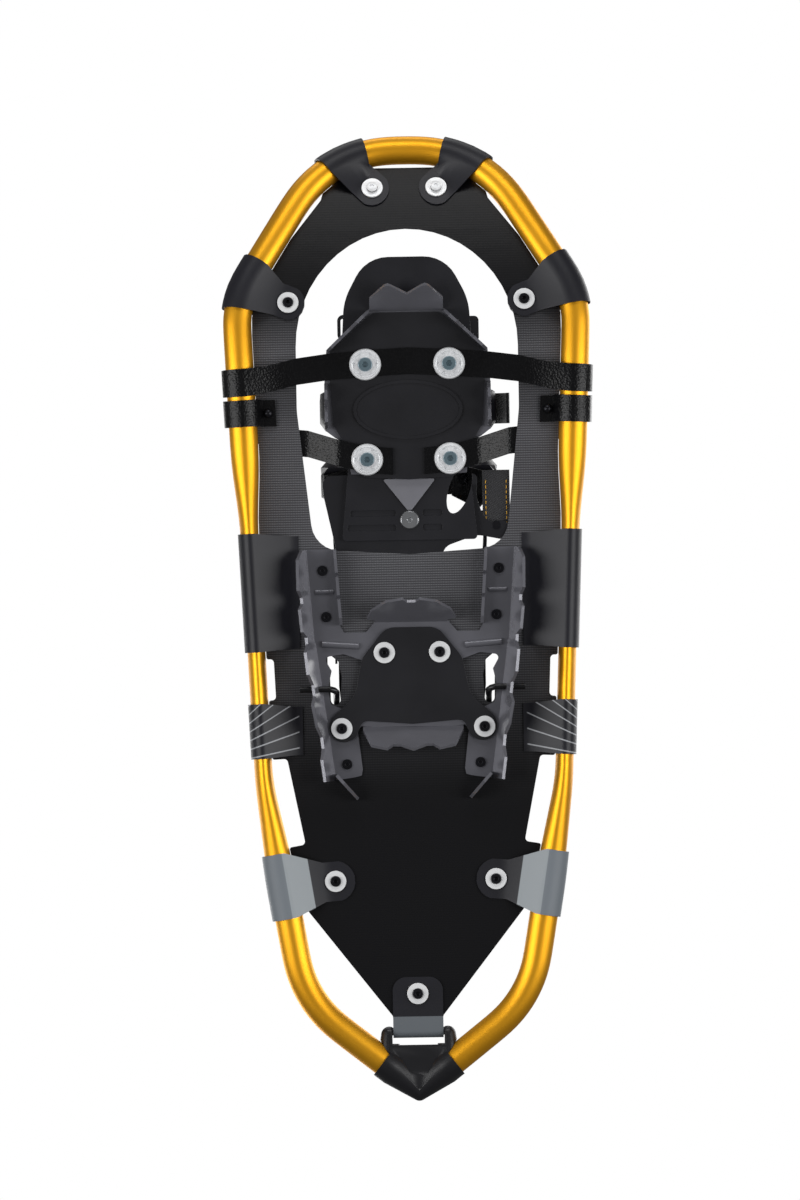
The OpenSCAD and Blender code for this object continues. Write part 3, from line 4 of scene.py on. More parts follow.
import bpy
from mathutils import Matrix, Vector

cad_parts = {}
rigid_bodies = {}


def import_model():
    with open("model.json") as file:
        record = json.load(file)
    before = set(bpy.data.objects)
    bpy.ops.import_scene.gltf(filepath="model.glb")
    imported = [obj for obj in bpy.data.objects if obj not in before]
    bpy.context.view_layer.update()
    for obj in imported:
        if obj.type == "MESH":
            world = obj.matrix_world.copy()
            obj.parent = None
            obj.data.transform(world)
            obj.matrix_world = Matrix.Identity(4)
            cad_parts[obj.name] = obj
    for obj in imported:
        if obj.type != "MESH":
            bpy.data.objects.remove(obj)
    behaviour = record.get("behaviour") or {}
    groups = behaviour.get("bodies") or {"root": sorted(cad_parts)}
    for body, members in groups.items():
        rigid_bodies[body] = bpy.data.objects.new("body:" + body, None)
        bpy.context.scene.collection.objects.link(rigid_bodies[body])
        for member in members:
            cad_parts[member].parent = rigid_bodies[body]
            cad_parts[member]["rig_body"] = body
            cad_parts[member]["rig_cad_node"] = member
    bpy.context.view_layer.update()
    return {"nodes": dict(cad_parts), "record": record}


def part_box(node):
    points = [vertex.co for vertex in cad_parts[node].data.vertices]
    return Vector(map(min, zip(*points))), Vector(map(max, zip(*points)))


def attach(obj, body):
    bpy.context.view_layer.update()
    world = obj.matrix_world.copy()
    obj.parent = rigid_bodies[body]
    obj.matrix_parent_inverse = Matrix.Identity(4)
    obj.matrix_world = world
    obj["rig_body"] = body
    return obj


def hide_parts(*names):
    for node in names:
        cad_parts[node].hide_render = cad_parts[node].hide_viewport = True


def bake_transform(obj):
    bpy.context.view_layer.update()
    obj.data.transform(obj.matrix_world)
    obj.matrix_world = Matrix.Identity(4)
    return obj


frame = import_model()
cadNodes = frame["nodes"]
bodyOfNode = {n: b for b, names in frame["record"]["behaviour"]["bodies"].items() for n in names}
print("snowshoe frame loaded:", len(cadNodes), "nodes")

# the camera looks straight up at the underside from twenty metres away
camera = {"place": (0.0073, 0.0119, -20.0), "roll": 0.98, "lens": 914.0}
bpy.ops.object.select_all(action="DESELECT")
bpy.ops.object.camera_add(location=camera["place"], rotation=(0, math.pi, math.radians(camera["roll"])))
shoeCamera = bpy.context.active_object
shoeCamera.data.lens = camera["lens"]
shoeCamera.data.sensor_width = 36.0
shoeCamera.data.clip_end = 40.0
bpy.context.scene.camera = shoeCamera
bpy.context.scene.view_settings.view_transform = "Standard"


def toLinear(hexCode):
    parts = [int(hexCode[i:i + 2], 16) / 255 for i in (1, 3, 5)]
    return [p / 12.92 if p <= 0.04045 else ((p + 0.055) / 1.055) ** 2.4 for p in parts] + [1.0]


def addNode(tree, kind, values=None, links=None):
    node = tree.nodes.new("ShaderNode" + kind)
    for name, value in (values or {}).items():
        if isinstance(name, str) and hasattr(node, name):
            setattr(node, name, value)
        else:
            node.inputs[name].default_value = value
    for name, source in (links or {}).items():
        tree.links.new(source, node.inputs[name])
    return node


def startMaterial(name, colour, roughness, **sockets):
    material = bpy.data.materials.new(name)
    material.use_nodes = True
    tree = material.node_tree
    shader = tree.nodes["Principled BSDF"]
    shader.inputs["Base Color"].default_value = toLinear(colour)
    shader.inputs["Roughness"].default_value = roughness
    for socket, value in sockets.items():
        shader.inputs[socket.replace("_", " ")].default_value = value
    place = addNode(tree, "TexCoord").outputs["Object"]
    return material, tree, shader, place


# a pale floor that shows only from above, and soft light from both sides
studio = {"floor": "#F4F4F2", "around": 0.16, "below": 56.0, "above": 34.0}
bpy.ops.object.select_all(action="DESELECT")
bpy.ops.mesh.primitive_plane_add(size=6.0, location=(0, 0, -0.0005))
studioFloor = bpy.context.active_object
studioFloor.name = "studioFloor"
paleFloor, tree, shader, place = startMaterial("paleStudioFloor", studio["floor"], 0.85)
seenFromBelow = addNode(tree, "NewGeometry").outputs["Backfacing"]
clear = addNode(tree, "BsdfTransparent")
pick = addNode(tree, "MixShader", links={0: seenFromBelow, 1: shader.outputs[0], 2: clear.outputs[0]})
tree.links.new(pick.outputs[0], tree.nodes["Material Output"].inputs["Surface"])
studioFloor.data.materials.append(paleFloor)
for ray in ("visible_diffuse", "visible_glossy", "visible_transmission", "visible_shadow",
            "visible_volume_scatter"):
    setattr(studioFloor, ray, False)

world = bpy.data.worlds.new("studioWorld")
bpy.context.scene.world = world
world.use_nodes = True
tree = world.node_tree
cameraRay = addNode(tree, "LightPath").outputs["Is Camera Ray"]
glow = addNode(tree, "MapRange", {"To Min": studio["around"], "To Max": 1.0}, {"Value": cameraRay})
tree.links.new(glow.outputs[0], tree.nodes["Background"].inputs["Strength"])
tree.nodes["Background"].inputs["Color"].default_value = (1, 1, 1, 1)

# soft boxes: two long ones on each side of the underside, two above for the binding
softBoxes = [
    ((2.3, 0.0, -1.7), (1.0, 2.8), studio["below"]), ((-2.3, 0.0, -1.7), (1.0, 2.8), studio["below"]),
    ((0.0, 2.8, -1.5), (2.4, 0.8), studio["below"] * 0.6),
    ((1.7, -1.0, 2.6), (1.6, 2.4), studio["above"]), ((-1.7, 0.6, 2.4), (1.6, 2.4), studio["above"]),
    ((0.2, 2.6, 1.6), (2.4, 1.2), studio["above"] * 0.6),
]
for spot, size, power in softBoxes:
    bpy.ops.object.light_add(type="AREA", location=spot)
    softBox = bpy.context.active_object
    softBox.data.shape = "RECTANGLE"
    softBox.data.size, softBox.data.size_y = size
    softBox.data.energy = power
    softBox.rotation_euler = (-Vector(spot)).to_track_quat("-Z", "Y").to_euler()
print("studio ready")

# anodised aluminium: drawn tube dyed gold in the oxide layer; satin, with a fine drawn grain and a warm mottle
goldTube, tree, shader, place = startMaterial("anodisedAluminium", "#DE9F1A", 0.44, Metallic=0.9)
drawn = addNode(tree, "TexNoise", {"Scale": 900.0, "Detail": 2.0}, {"Vector": place})
satin = addNode(tree, "MapRange", {"To Min": 0.40, "To Max": 0.50}, {"Value": drawn.outputs["Fac"]})
tree.links.new(satin.outputs[0], shader.inputs["Roughness"])
cloud = addNode(tree, "TexNoise", {"Scale": 14.0, "Detail": 3.0}, {"Vector": place})
warm = addNode(tree, "Mix", {"data_type": "RGBA", 6: toLinear("#DE9A16"), 7: toLinear("#EDAE2A")},
               {0: cloud.outputs["Fac"]})
tree.links.new(warm.outputs[2], shader.inputs["Base Color"])
grain = addNode(tree, "Bump", {"Strength": 0.06, "Distance": 0.0002}, {"Height": drawn.outputs["Fac"]})
tree.links.new(grain.outputs[0], shader.inputs["Normal"])

# moulded nylon, polyurethane and acetal: near-black, with fine spark-eroded grain and soft mottle
mouldings = {
    "connectorNylon": {"dark": "#0C0C0F", "light": "#17171B", "rough": 0.36, "grain": 0.5, "relief": 0.10},
    "icePlateUrethane": {"dark": "#0B0B0F", "light": "#14141A", "rough": 0.40, "grain": 0.6, "relief": 0.10},
    "footbedNylon": {"dark": "#0D0D11", "light": "#17171D", "rough": 0.38, "grain": 0.8, "relief": 0.08},
    "badgePlastic": {"dark": "#5E5E64", "light": "#74747A", "rough": 0.45, "grain": 0.5, "relief": 0.10},
    "toeCapRubber": {"dark": "#0A0A0D", "light": "#121217", "rough": 0.48, "grain": 1.0, "relief": 0.12},
    "wingUrethane": {"dark": "#0F0F13", "light": "#1B1B22", "rough": 0.42, "grain": 1.2, "relief": 0.12},
    "buckleAcetal": {"dark": "#101013", "light": "#1C1C20", "rough": 0.32, "grain": 0.4, "relief": 0.06},
    "leverAcetal": {"dark": "#B07A06", "light": "#CE9612", "rough": 0.35, "grain": 0.4, "relief": 0.06},
    "heelStrapUrethane": {"dark": "#141418", "light": "#202027", "rough": 0.40, "grain": 1.0, "relief": 0.10},
}
finishes = {"tube": goldTube}
for name, look in mouldings.items():
    material, tree, shader, place = startMaterial(name, look["dark"], look["rough"], Specular_IOR_Level=0.4)
    patch = addNode(tree, "TexNoise", {"Scale": 30.0, "Detail": 4.0}, {"Vector": place})
    tone = addNode(tree, "Mix", {"data_type": "RGBA", 6: toLinear(look["dark"]), 7: toLinear(look["light"])},
                   {0: patch.outputs["Fac"]})
    tree.links.new(tone.outputs[2], shader.inputs["Base Color"])
    spark = addNode(tree, "TexNoise", {"Scale": 1000.0 / look["grain"], "Detail": 2.0}, {"Vector": place})
    matte = addNode(tree, "MapRange", {"To Min": look["rough"] - 0.06, "To Max": look["rough"] + 0.08},
                    {"Value": patch.outputs["Fac"]})
    tree.links.new(matte.outputs[0], shader.inputs["Roughness"])
    skin = addNode(tree, "Bump", {"Strength": look["relief"], "Distance": 0.0004},
                   {"Height": spark.outputs["Fac"]})
    tree.links.new(skin.outputs[0], shader.inputs["Normal"])
    finishes[name] = material

# coated steel, zinc and wire: metals with a scuffed skin
metals = {
    "pressedSteel": {"dark": "#5E5E64", "light": "#6A6A71", "rough": 0.24, "metal": 0.3,
                     "grain": 1.0, "relief": 0.015},
    "zincWasher": {"dark": "#D2D3D5", "light": "#E6E7E8", "rough": 0.30, "metal": 0.1,
                   "grain": 1.0, "relief": 0.03},
    "blackenedRivet": {"dark": "#141417", "light": "#2C2C31", "rough": 0.30, "metal": 0.8,
                       "grain": 0.8, "relief": 0.06},
    "zincFlange": {"dark": "#C6C8CB", "light": "#E2E3E5", "rough": 0.26, "metal": 0.15,
                   "grain": 1.2, "relief": 0.03},
    "blueZincBolt": {"dark": "#6C8794", "light": "#9CB2BC", "rough": 0.22, "metal": 0.8,
                     "grain": 0.8, "relief": 0.06},
    "blackWire": {"dark": "#0C0C0E", "light": "#1A1A1D", "rough": 0.28, "metal": 0.3,
                  "grain": 1.2, "relief": 0.05},
    "stainlessScrew": {"dark": "#8E9094", "light": "#B4B6B9", "rough": 0.28, "metal": 0.95,
                       "grain": 0.6, "relief": 0.05},
}
for name, look in metals.items():
    material, tree, shader, place = startMaterial(name, look["dark"], look["rough"], Metallic=look["metal"])
    patch = addNode(tree, "TexNoise", {"Scale": 60.0, "Detail": 5.0}, {"Vector": place})
    tone = addNode(tree, "Mix", {"data_type": "RGBA", 6: toLinear(look["dark"]), 7: toLinear(look["light"])},
                   {0: patch.outputs["Fac"]})
    tree.links.new(tone.outputs[2], shader.inputs["Base Color"])
    scuff = addNode(tree, "TexNoise", {"Scale": 1000.0 / look["grain"], "Detail": 3.0}, {"Vector": place})
    matte = addNode(tree, "MapRange", {"To Min": look["rough"] - 0.03, "To Max": look["rough"] + 0.05},
                    {"Value": scuff.outputs["Fac"]})
    tree.links.new(matte.outputs[0], shader.inputs["Roughness"])
    skin = addNode(tree, "Bump", {"Strength": look["relief"], "Distance": 0.0004},
                   {"Height": scuff.outputs["Fac"]})
    tree.links.new(skin.outputs[0], shader.inputs["Normal"])
    finishes[name] = material

# coated ripstop decking: a ribbed base cloth under a urethane skin; the middle is painted light, with the weave
# drawn as a painted highlight on its ribs, and the nose and the tail are smooth and darker with painted shade
# lit is the painted light of the ribbed middle; deep is the dark cloth, left in painted shade at the nose and
# the tail
deckLook = {"deep": "#050508", "lit": "#66666A", "rib": 1.6, "rough": 0.42}
deckCloth, tree, shader, place = startMaterial("urethaneCoatedDecking", deckLook["deep"], deckLook["rough"],
                                             Specular_IOR_Level=0.22)
spot = addNode(tree, "SeparateXYZ", links={0: place})
# painted shade: this mask keeps painted light on the middle and darkens the nose and the tail; it also flattens
# the rib bumps there
fromNose = addNode(tree, "MapRange", {"interpolation_type": "SMOOTHSTEP", "From Min": 0.215, "From Max": 0.17},
                   {"Value": spot.outputs["Y"]})
fromTail = addNode(tree, "MapRange", {"interpolation_type": "SMOOTHSTEP", "From Min": -0.13, "From Max": 0.03},
                   {"Value": spot.outputs["Y"]})
litRibbedMiddle = addNode(tree, "Math", {"operation": "MULTIPLY"}, {0: fromNose.outputs[0], 1: fromTail.outputs[0]})
# one rib every 1.6 mm, coarser than the real 0.8 mm so that it still shows
# the weft stands out more than the warp
weft = addNode(tree, "TexWave", {"bands_direction": "Y", "Scale": 314.0 / deckLook["rib"], "Distortion": 0.4,
                                 "Detail": 0.0}, {"Vector": place})
warp = addNode(tree, "TexWave", {"bands_direction": "X", "Scale": 314.0 / deckLook["rib"], "Distortion": 0.4,
                                 "Detail": 0.0}, {"Vector": place})
sunk = addNode(tree, "Math", {"operation": "MULTIPLY_ADD", 1: 0.45, 2: 0.55}, {0: warp.outputs["Fac"]})
cloth = addNode(tree, "Math", {"operation": "MULTIPLY"}, {0: weft.outputs["Fac"], 1: sunk.outputs[0]})
cloudy = addNode(tree, "TexNoise", {"Scale": 18.0, "Detail": 4.0}, {"Vector": place})
worn = addNode(tree, "Math", {"operation": "MULTIPLY_ADD", 1: 0.5, 2: 0.55}, {0: cloudy.outputs["Fac"]})
# painted highlight on the rib crests of the weave, over painted light across the middle
paintedRibLight = addNode(tree, "Math", {"operation": "MULTIPLY_ADD", 1: 0.75, 2: 0.35}, {0: cloth.outputs[0]})
shade = addNode(tree, "Math", {"operation": "MULTIPLY"}, {0: paintedRibLight.outputs[0], 1: litRibbedMiddle.outputs[0]})
shadeWorn = addNode(tree, "Math", {"operation": "MULTIPLY"}, {0: shade.outputs[0], 1: worn.outputs[0]})
tone = addNode(tree, "Mix", {"data_type": "RGBA", 6: toLinear(deckLook["deep"]), 7: toLinear(deckLook["lit"])},
               {0: shadeWorn.outputs[0]})
tree.links.new(tone.outputs[2], shader.inputs["Base Color"])
relief = addNode(tree, "Math", {"operation": "MULTIPLY_ADD", 1: 0.85, 2: 0.12}, {0: litRibbedMiddle.outputs[0]})
raised = addNode(tree, "Math", {"operation": "MULTIPLY"}, {0: cloth.outputs[0], 1: relief.outputs[0]})
weave = addNode(tree, "Bump", {"Strength": 0.5, "Distance": 0.0004}, {"Height": raised.outputs[0]})
tree.links.new(weave.outputs[0], shader.inputs["Normal"])
finishes["deckCloth"] = deckCloth

# coated wrap cloth: smooth matte blue-black; some wraps are printed with fine lines or with two grey bands
wrapLook = {"deep": "#0F0F14", "lit": "#191921", "rough": 0.46, "line": "#9A9CA0",
            "inner": "#8E9498", "outer": "#6F757B", "tail": "#5C6166"}
for kind in ("plain", "lined", "banded", "tailBanded"):
    material, tree, shader, place = startMaterial(kind + "WrapCloth", wrapLook["deep"], wrapLook["rough"],
                                                  Specular_IOR_Level=0.35)
    patch = addNode(tree, "TexNoise", {"Scale": 22.0, "Detail": 4.0}, {"Vector": place})
    tone = addNode(tree, "Mix",
                   {"data_type": "RGBA", 6: toLinear(wrapLook["deep"]), 7: toLinear(wrapLook["lit"])},
                   {0: patch.outputs["Fac"]})
    colour = tone.outputs[2]
    spot = addNode(tree, "SeparateXYZ", links={0: place})
    out = addNode(tree, "Math", {"operation": "ABSOLUTE"}, {0: spot.outputs["X"]})
    if kind == "lined":
        # five lines that fan out from the tube: 6 mm apart at 106 mm from the middle, 10 mm at 75 mm
        inward = addNode(tree, "Math", {"operation": "SUBTRACT", 0: 0.106}, {1: out.outputs[0]})
        base = addNode(tree, "Math", {"operation": "MULTIPLY_ADD", 1: 0.2, 2: -0.0903}, {0: inward.outputs[0]})
        gap = addNode(tree, "Math", {"operation": "MULTIPLY_ADD", 1: 0.14, 2: 0.006}, {0: inward.outputs[0]})
        above = addNode(tree, "Math", {"operation": "SUBTRACT"}, {0: spot.outputs["Y"], 1: base.outputs[0]})
        count = addNode(tree, "Math", {"operation": "DIVIDE"}, {0: above.outputs[0], 1: gap.outputs[0]})
        near = addNode(tree, "Math", {"operation": "PINGPONG", 1: 0.5}, {0: count.outputs[0]})
        off = addNode(tree, "Math", {"operation": "MULTIPLY"}, {0: near.outputs[0], 1: gap.outputs[0]})
        thin = addNode(tree, "MapRange", {"From Min": 0.00055, "From Max": 0.0003}, {"Value": off.outputs[0]})
        ended = addNode(tree, "MapRange", {"From Min": 0.0745, "From Max": 0.0755}, {"Value": out.outputs[0]})
        ink = addNode(tree, "Math", {"operation": "MULTIPLY"}, {0: thin.outputs[0], 1: ended.outputs[0]})
        inked = addNode(tree, "Mix", {"data_type": "RGBA", 7: toLinear(wrapLook["line"])},
                        {0: ink.outputs[0], 6: colour})
        colour = inked.outputs[2]
    if kind == "banded":
        # the bands run along the tube, which leans 0.16 mm for each mm of length here
        edge = addNode(tree, "Math", {"operation": "MULTIPLY_ADD", 1: -0.158},
                       {0: spot.outputs["Y"], 2: out.outputs[0]})
        for start, shadeOfBand in ((0.0959, "inner"), (0.1123, "outer")):
            inside = addNode(tree, "MapRange", {"From Min": start - 0.0002, "From Max": start + 0.0002},
                             {"Value": edge.outputs[0]})
            banded = addNode(tree, "Mix", {"data_type": "RGBA", 7: toLinear(wrapLook[shadeOfBand])},
                             {0: inside.outputs[0], 6: colour})
            colour = banded.outputs[2]
    if kind == "tailBanded":
        inside = addNode(tree, "MapRange", {"From Min": -0.2618, "From Max": -0.2622},
                         {"Value": spot.outputs["Y"]})
        banded = addNode(tree, "Mix", {"data_type": "RGBA", 7: toLinear(wrapLook["tail"])},
                         {0: inside.outputs[0], 6: colour})
        colour = banded.outputs[2]
    tree.links.new(colour, shader.inputs["Base Color"])
    fine = addNode(tree, "TexNoise", {"Scale": 1400.0, "Detail": 2.0}, {"Vector": place})
    skin = addNode(tree, "Bump", {"Strength": 0.10, "Distance": 0.0003}, {"Height": fine.outputs["Fac"]})
    tree.links.new(skin.outputs[0], shader.inputs["Normal"])
    finishes[kind + "Wrap"] = material

# suspension strap: glossy urethane pressed on a knitted core, so it has a pebbled grain of about 1.5 mm
pebbled, tree, shader, place = startMaterial("pebbledUrethaneStrap", "#0C0C0E", 0.3, Specular_IOR_Level=0.2)
pebble = addNode(tree, "TexVoronoi", {"Scale": 700.0}, {"Vector": place})
swell = addNode(tree, "TexNoise", {"Scale": 60.0, "Detail": 1.0}, {"Vector": place})
tone = addNode(tree, "Mix", {"data_type": "RGBA", 6: toLinear("#030304"), 7: toLinear("#0A0A0C")},
               {0: swell.outputs["Fac"]})
tree.links.new(tone.outputs[2], shader.inputs["Base Color"])
both = addNode(tree, "Math", {"operation": "ADD"}, {0: pebble.outputs["Distance"], 1: swell.outputs["Fac"]})
skin = addNode(tree, "Bump", {"Strength": 0.45, "Distance": 0.0004}, {"Height": both.outputs[0]})
tree.links.new(skin.outputs[0], shader.inputs["Normal"])
finishes["pebbledStrap"] = pebbled

# woven polyester webbing: a rib every 1.4 mm across it, and a herringbone along it
webbing, tree, shader, place = startMaterial("wovenPolyesterWebbing", "#141417", 0.62, Sheen_Weight=0.3)
turned = addNode(tree, "Mapping", {"Rotation": (0, 0, 0.5)}, {"Vector": place})
rib = addNode(tree, "TexWave", {"bands_direction": "Y", "Scale": 224.0, "Distortion": 1.0},
              {"Vector": turned.outputs[0]})
pick = addNode(tree, "TexWave", {"bands_direction": "X", "Scale": 300.0, "Distortion": 1.0},
               {"Vector": turned.outputs[0]})
yarn = addNode(tree, "Math", {"operation": "MULTIPLY"}, {0: rib.outputs["Fac"], 1: pick.outputs["Fac"]})
tone = addNode(tree, "Mix", {"data_type": "RGBA", 6: toLinear("#0F0F12"), 7: toLinear("#2C2C32")},
               {0: yarn.outputs[0]})
tree.links.new(tone.outputs[2], shader.inputs["Base Color"])
skin = addNode(tree, "Bump", {"Strength": 0.6, "Distance": 0.0005}, {"Height": yarn.outputs[0]})
tree.links.new(skin.outputs[0], shader.inputs["Normal"])
finishes["webbing"] = webbing

# bonded nylon thread: gold, twisted, so each stitch is lighter along its crown
thread, tree, shader, place = startMaterial("bondedNylonThread", "#D9A21E", 0.5, Sheen_Weight=0.2)
twist = addNode(tree, "TexNoise", {"Scale": 1600.0, "Detail": 1.0}, {"Vector": place})
tone = addNode(tree, "Mix", {"data_type": "RGBA", 6: toLinear("#B5800E"), 7: toLinear("#F0BC3A")},
               {0: twist.outputs["Fac"]})
tree.links.new(tone.outputs[2], shader.inputs["Base Color"])
skin = addNode(tree, "Bump", {"Strength": 0.3, "Distance": 0.0002}, {"Height": twist.outputs["Fac"]})
tree.links.new(skin.outputs[0], shader.inputs["Normal"])
finishes["thread"] = thread
print("finishes ready:", len(finishes))


def copyNode(nodeName, pieceName):
    bpy.ops.object.select_all(action="DESELECT")
    cadNodes[nodeName].select_set(True)
    bpy.context.view_layer.objects.active = cadNodes[nodeName]
    bpy.ops.object.duplicate()
    piece = bpy.context.active_object
    piece.parent = None
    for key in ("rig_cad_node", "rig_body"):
        if key in piece:
            del piece[key]
    piece.name = pieceName
    if piece.data.has_custom_normals:
        bpy.ops.mesh.customdata_custom_splitnormals_clear()
    bpy.ops.object.mode_set(mode="EDIT")
    bpy.ops.mesh.select_all(action="SELECT")
    bpy.ops.mesh.remove_doubles(threshold=0.00001)
    bpy.ops.mesh.select_all(action="DESELECT")
    bpy.ops.object.mode_set(mode="OBJECT")
    return piece


def finishPart(nodeName, finish, bevel=0.0, smooth=35.0):
    piece = copyNode(nodeName, nodeName + "Finished")
    if bevel:
        bpy.ops.object.mode_set(mode="EDIT")
        bpy.ops.mesh.select_all(action="SELECT")
        bpy.ops.mesh.dissolve_limited(angle_limit=math.radians(0.6))
        bpy.ops.mesh.select_all(action="DESELECT")
        bpy.ops.object.mode_set(mode="OBJECT")
        bpy.ops.object.modifier_add(type="BEVEL")
        rounded = piece.modifiers[-1]
        rounded.width = bevel
        rounded.segments = 2
        rounded.limit_method = "ANGLE"
        rounded.angle_limit = math.radians(38)
        bpy.ops.object.modifier_apply(modifier=rounded.name)
    bpy.ops.object.shade_smooth_by_angle(angle=math.radians(smooth))
    if bevel:
        bpy.ops.object.modifier_add(type="WEIGHTED_NORMAL")
        piece.modifiers[-1].keep_sharp = True
        piece.modifiers[-1].weight = 100
        bpy.ops.object.modifier_apply(modifier=piece.modifiers[-1].name)
    piece.data.materials.clear()
    piece.data.materials.append(finishes[finish])
    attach(piece, bodyOfNode[nodeName])
    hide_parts(nodeName)
    return piece


# each part, its finish, its slot, the width of its rounded edges in mm and the angle it is smooth to
parts = [
    ("frame_tube", "tube", "tube", 0, 50), ("tail_connector", "connectorNylon", "connector", 0, 40),
    ("deck", "deckCloth", "deck", 0, 30),
    ("wrap_washers", "zincWasher", "washer", 0.25, 35), ("wrap_rivets", "blackenedRivet", "rivet", 0.2, 35),
    ("heel_traction_plate", "pressedSteel", "steel", 0.6, 35),
    ("heel_ice_plate", "icePlateUrethane", "ice_plate", 0.5, 35),
    ("heel_washers", "zincWasher", "washer", 0.25, 35), ("heel_rivets", "blackenedRivet", "rivet", 0.2, 35),
    ("rail_rivets", "blackenedRivet", "rivet", 0.2, 35), ("heel_rest_pad", "footbedNylon", "moulding", 0.4, 35),
    ("suspension_strap_rivets", "blackenedRivet", "dome_rivet", 0, 50),
    ("footbed", "footbedNylon", "moulding", 0.5, 35),
    ("toe_ice_plate", "icePlateUrethane", "ice_plate", 0.4, 35),
    ("toe_crampon", "pressedSteel", "steel", 0.5, 35), ("flange_washers", "zincFlange", "flange", 0.25, 35),
    ("binding_bolts", "blueZincBolt", "bolt", 0.2, 35), ("binding_nuts", "blueZincBolt", "bolt", 0.2, 35),
    ("heel_tongue", "footbedNylon", "moulding", 0.5, 35), ("tongue_badge", "badgePlastic", "badge", 0.3, 35),
    ("tongue_screw", "stainlessScrew", "screw", 0.25, 35), ("toe_cap", "toeCapRubber", "toe_cap", 0, 40),
    ("harness_wing_left", "wingUrethane", "wing", 0, 40), ("harness_wing_right", "wingUrethane", "wing", 0, 40),
    ("wing_rivets", "blackenedRivet", "small_rivet", 0.2, 35), ("heel_webbing", "webbing", "webbing", 0, 40),
    ("toe_webbing", "webbing", "webbing", 0, 40), ("toe_buckle", "buckleAcetal", "buckle", 0.4, 35),
    ("toe_buckle_pin", "stainlessScrew", "pin", 0, 35), ("instep_webbing", "webbing", "webbing", 0, 40),
    ("instep_buckle", "buckleAcetal", "buckle", 0.4, 35), ("instep_buckle_pin", "stainlessScrew", "pin", 0, 35),
    ("heel_strap_pivots", "stainlessScrew", "pin", 0.2, 35), ("heel_lift_bail", "blackWire", "wire", 0, 50),
    ("toe_buckle_lever", "buckleAcetal", "lever", 0.5, 35),
    ("instep_buckle_lever", "buckleAcetal", "lever", 0.5, 35),
    ("heel_strap", "heelStrapUrethane", "heel_strap", 0.5, 40),
    ("heel_buckle", "buckleAcetal", "buckle", 0.4, 35),
    ("heel_buckle_pin", "stainlessScrew", "pin", 0, 35),
    ("heel_buckle_lever", "buckleAcetal", "lever", 0.5, 35),
]
wrapKinds = {"toe_wrap": "plainWrap", "shoulder_wrap": "plainWrap", "waist_wrap": "plainWrap",
             "striped_wrap": "linedWrap", "rear_wrap": "bandedWrap"}
wrapSlots = {"linedWrap": "wrap_striped", "bandedWrap": "wrap_banded", "plainWrap": "wrap"}
for wrapName, kind in wrapKinds.items():
    parts += [(wrapName + side, kind, wrapSlots[kind], 0, 45) for side in ("_left", "_right")]
parts.append(("tail_wrap", "tailBandedWrap", "wrap_banded", 0, 45))
finished = {}
for nodeName, finish, slotName, bevel, smooth in parts:
    finished[nodeName] = finishPart(nodeName, finish, bevel / 1000, smooth)

# the drawn tube bends in one smooth sweep
tubeSweep = {"quadAngle": 40, "quadShape": 60, "levels": 1}
bpy.ops.object.select_all(action="DESELECT")
finished["frame_tube"].select_set(True)
bpy.context.view_layer.objects.active = finished["frame_tube"]
bpy.ops.object.mode_set(mode="EDIT")
bpy.ops.mesh.select_all(action="SELECT")
bpy.ops.mesh.tris_convert_to_quads(face_threshold=math.radians(tubeSweep["quadAngle"]),
                                shape_threshold=math.radians(tubeSweep["quadShape"]))
bpy.ops.mesh.select_all(action="DESELECT")
bpy.ops.object.mode_set(mode="OBJECT")
bpy.ops.object.modifier_add(type="SUBSURF")
finished["frame_tube"].modifiers[-1].levels = tubeSweep["levels"]
finished["frame_tube"].modifiers[-1].render_levels = tubeSweep["levels"]
bpy.ops.object.modifier_apply(modifier=finished["frame_tube"].modifiers[-1].name)
print("parts finished:", len(finished))

# suspension straps: each half hangs between the tube and the binding, and is sliced every 5 mm where it is free
strapBend = {"tubeEnd": 0.074, "bindingEnd": 0.044, "past": 0.01, "cut": 0.005, "smooth": 50.0}
strapHalves = [("front_suspension_strap", "frontStrapLeft", -1),
               ("front_suspension_strap", "frontStrapRight", 1),
               ("rear_suspension_strap_left", "rearStrapLeft", -1),
               ("rear_suspension_strap_right", "rearStrapRight", 1)]
straps = [copyNode(nodeName, pieceName) for nodeName, pieceName, side in strapHalves]
for strap, (nodeName, pieceName, side) in zip(straps, strapHalves):
    bpy.ops.object.select_all(action="DESELECT")
    strap.select_set(True)
    bpy.context.view_layer.objects.active = strap
    bpy.ops.object.mode_set(mode="EDIT")
    if nodeName.startswith("front"):
        bpy.ops.mesh.select_all(action="SELECT")
        bpy.ops.mesh.bisect(plane_co=(0, 0, 0), plane_no=(side, 0, 0), use_fill=True, clear_inner=True)
    reach = strapBend["bindingEnd"] - strapBend["past"]
    while reach < strapBend["tubeEnd"] + strapBend["past"]:
        bpy.ops.mesh.select_all(action="SELECT")
        bpy.ops.mesh.bisect(plane_co=(side * reach, 0, 0), plane_no=(1, 0, 0))
        reach += strapBend["cut"]
    bpy.ops.mesh.select_all(action="DESELECT")
    bpy.ops.object.mode_set(mode="OBJECT")
    bpy.ops.object.shade_smooth_by_angle(angle=math.radians(strapBend["smooth"]))
    strap.data.materials.clear()
    strap.data.materials.append(finishes["pebbledStrap"])
    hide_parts(nodeName)
    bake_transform(strap)
print("suspension straps hung")

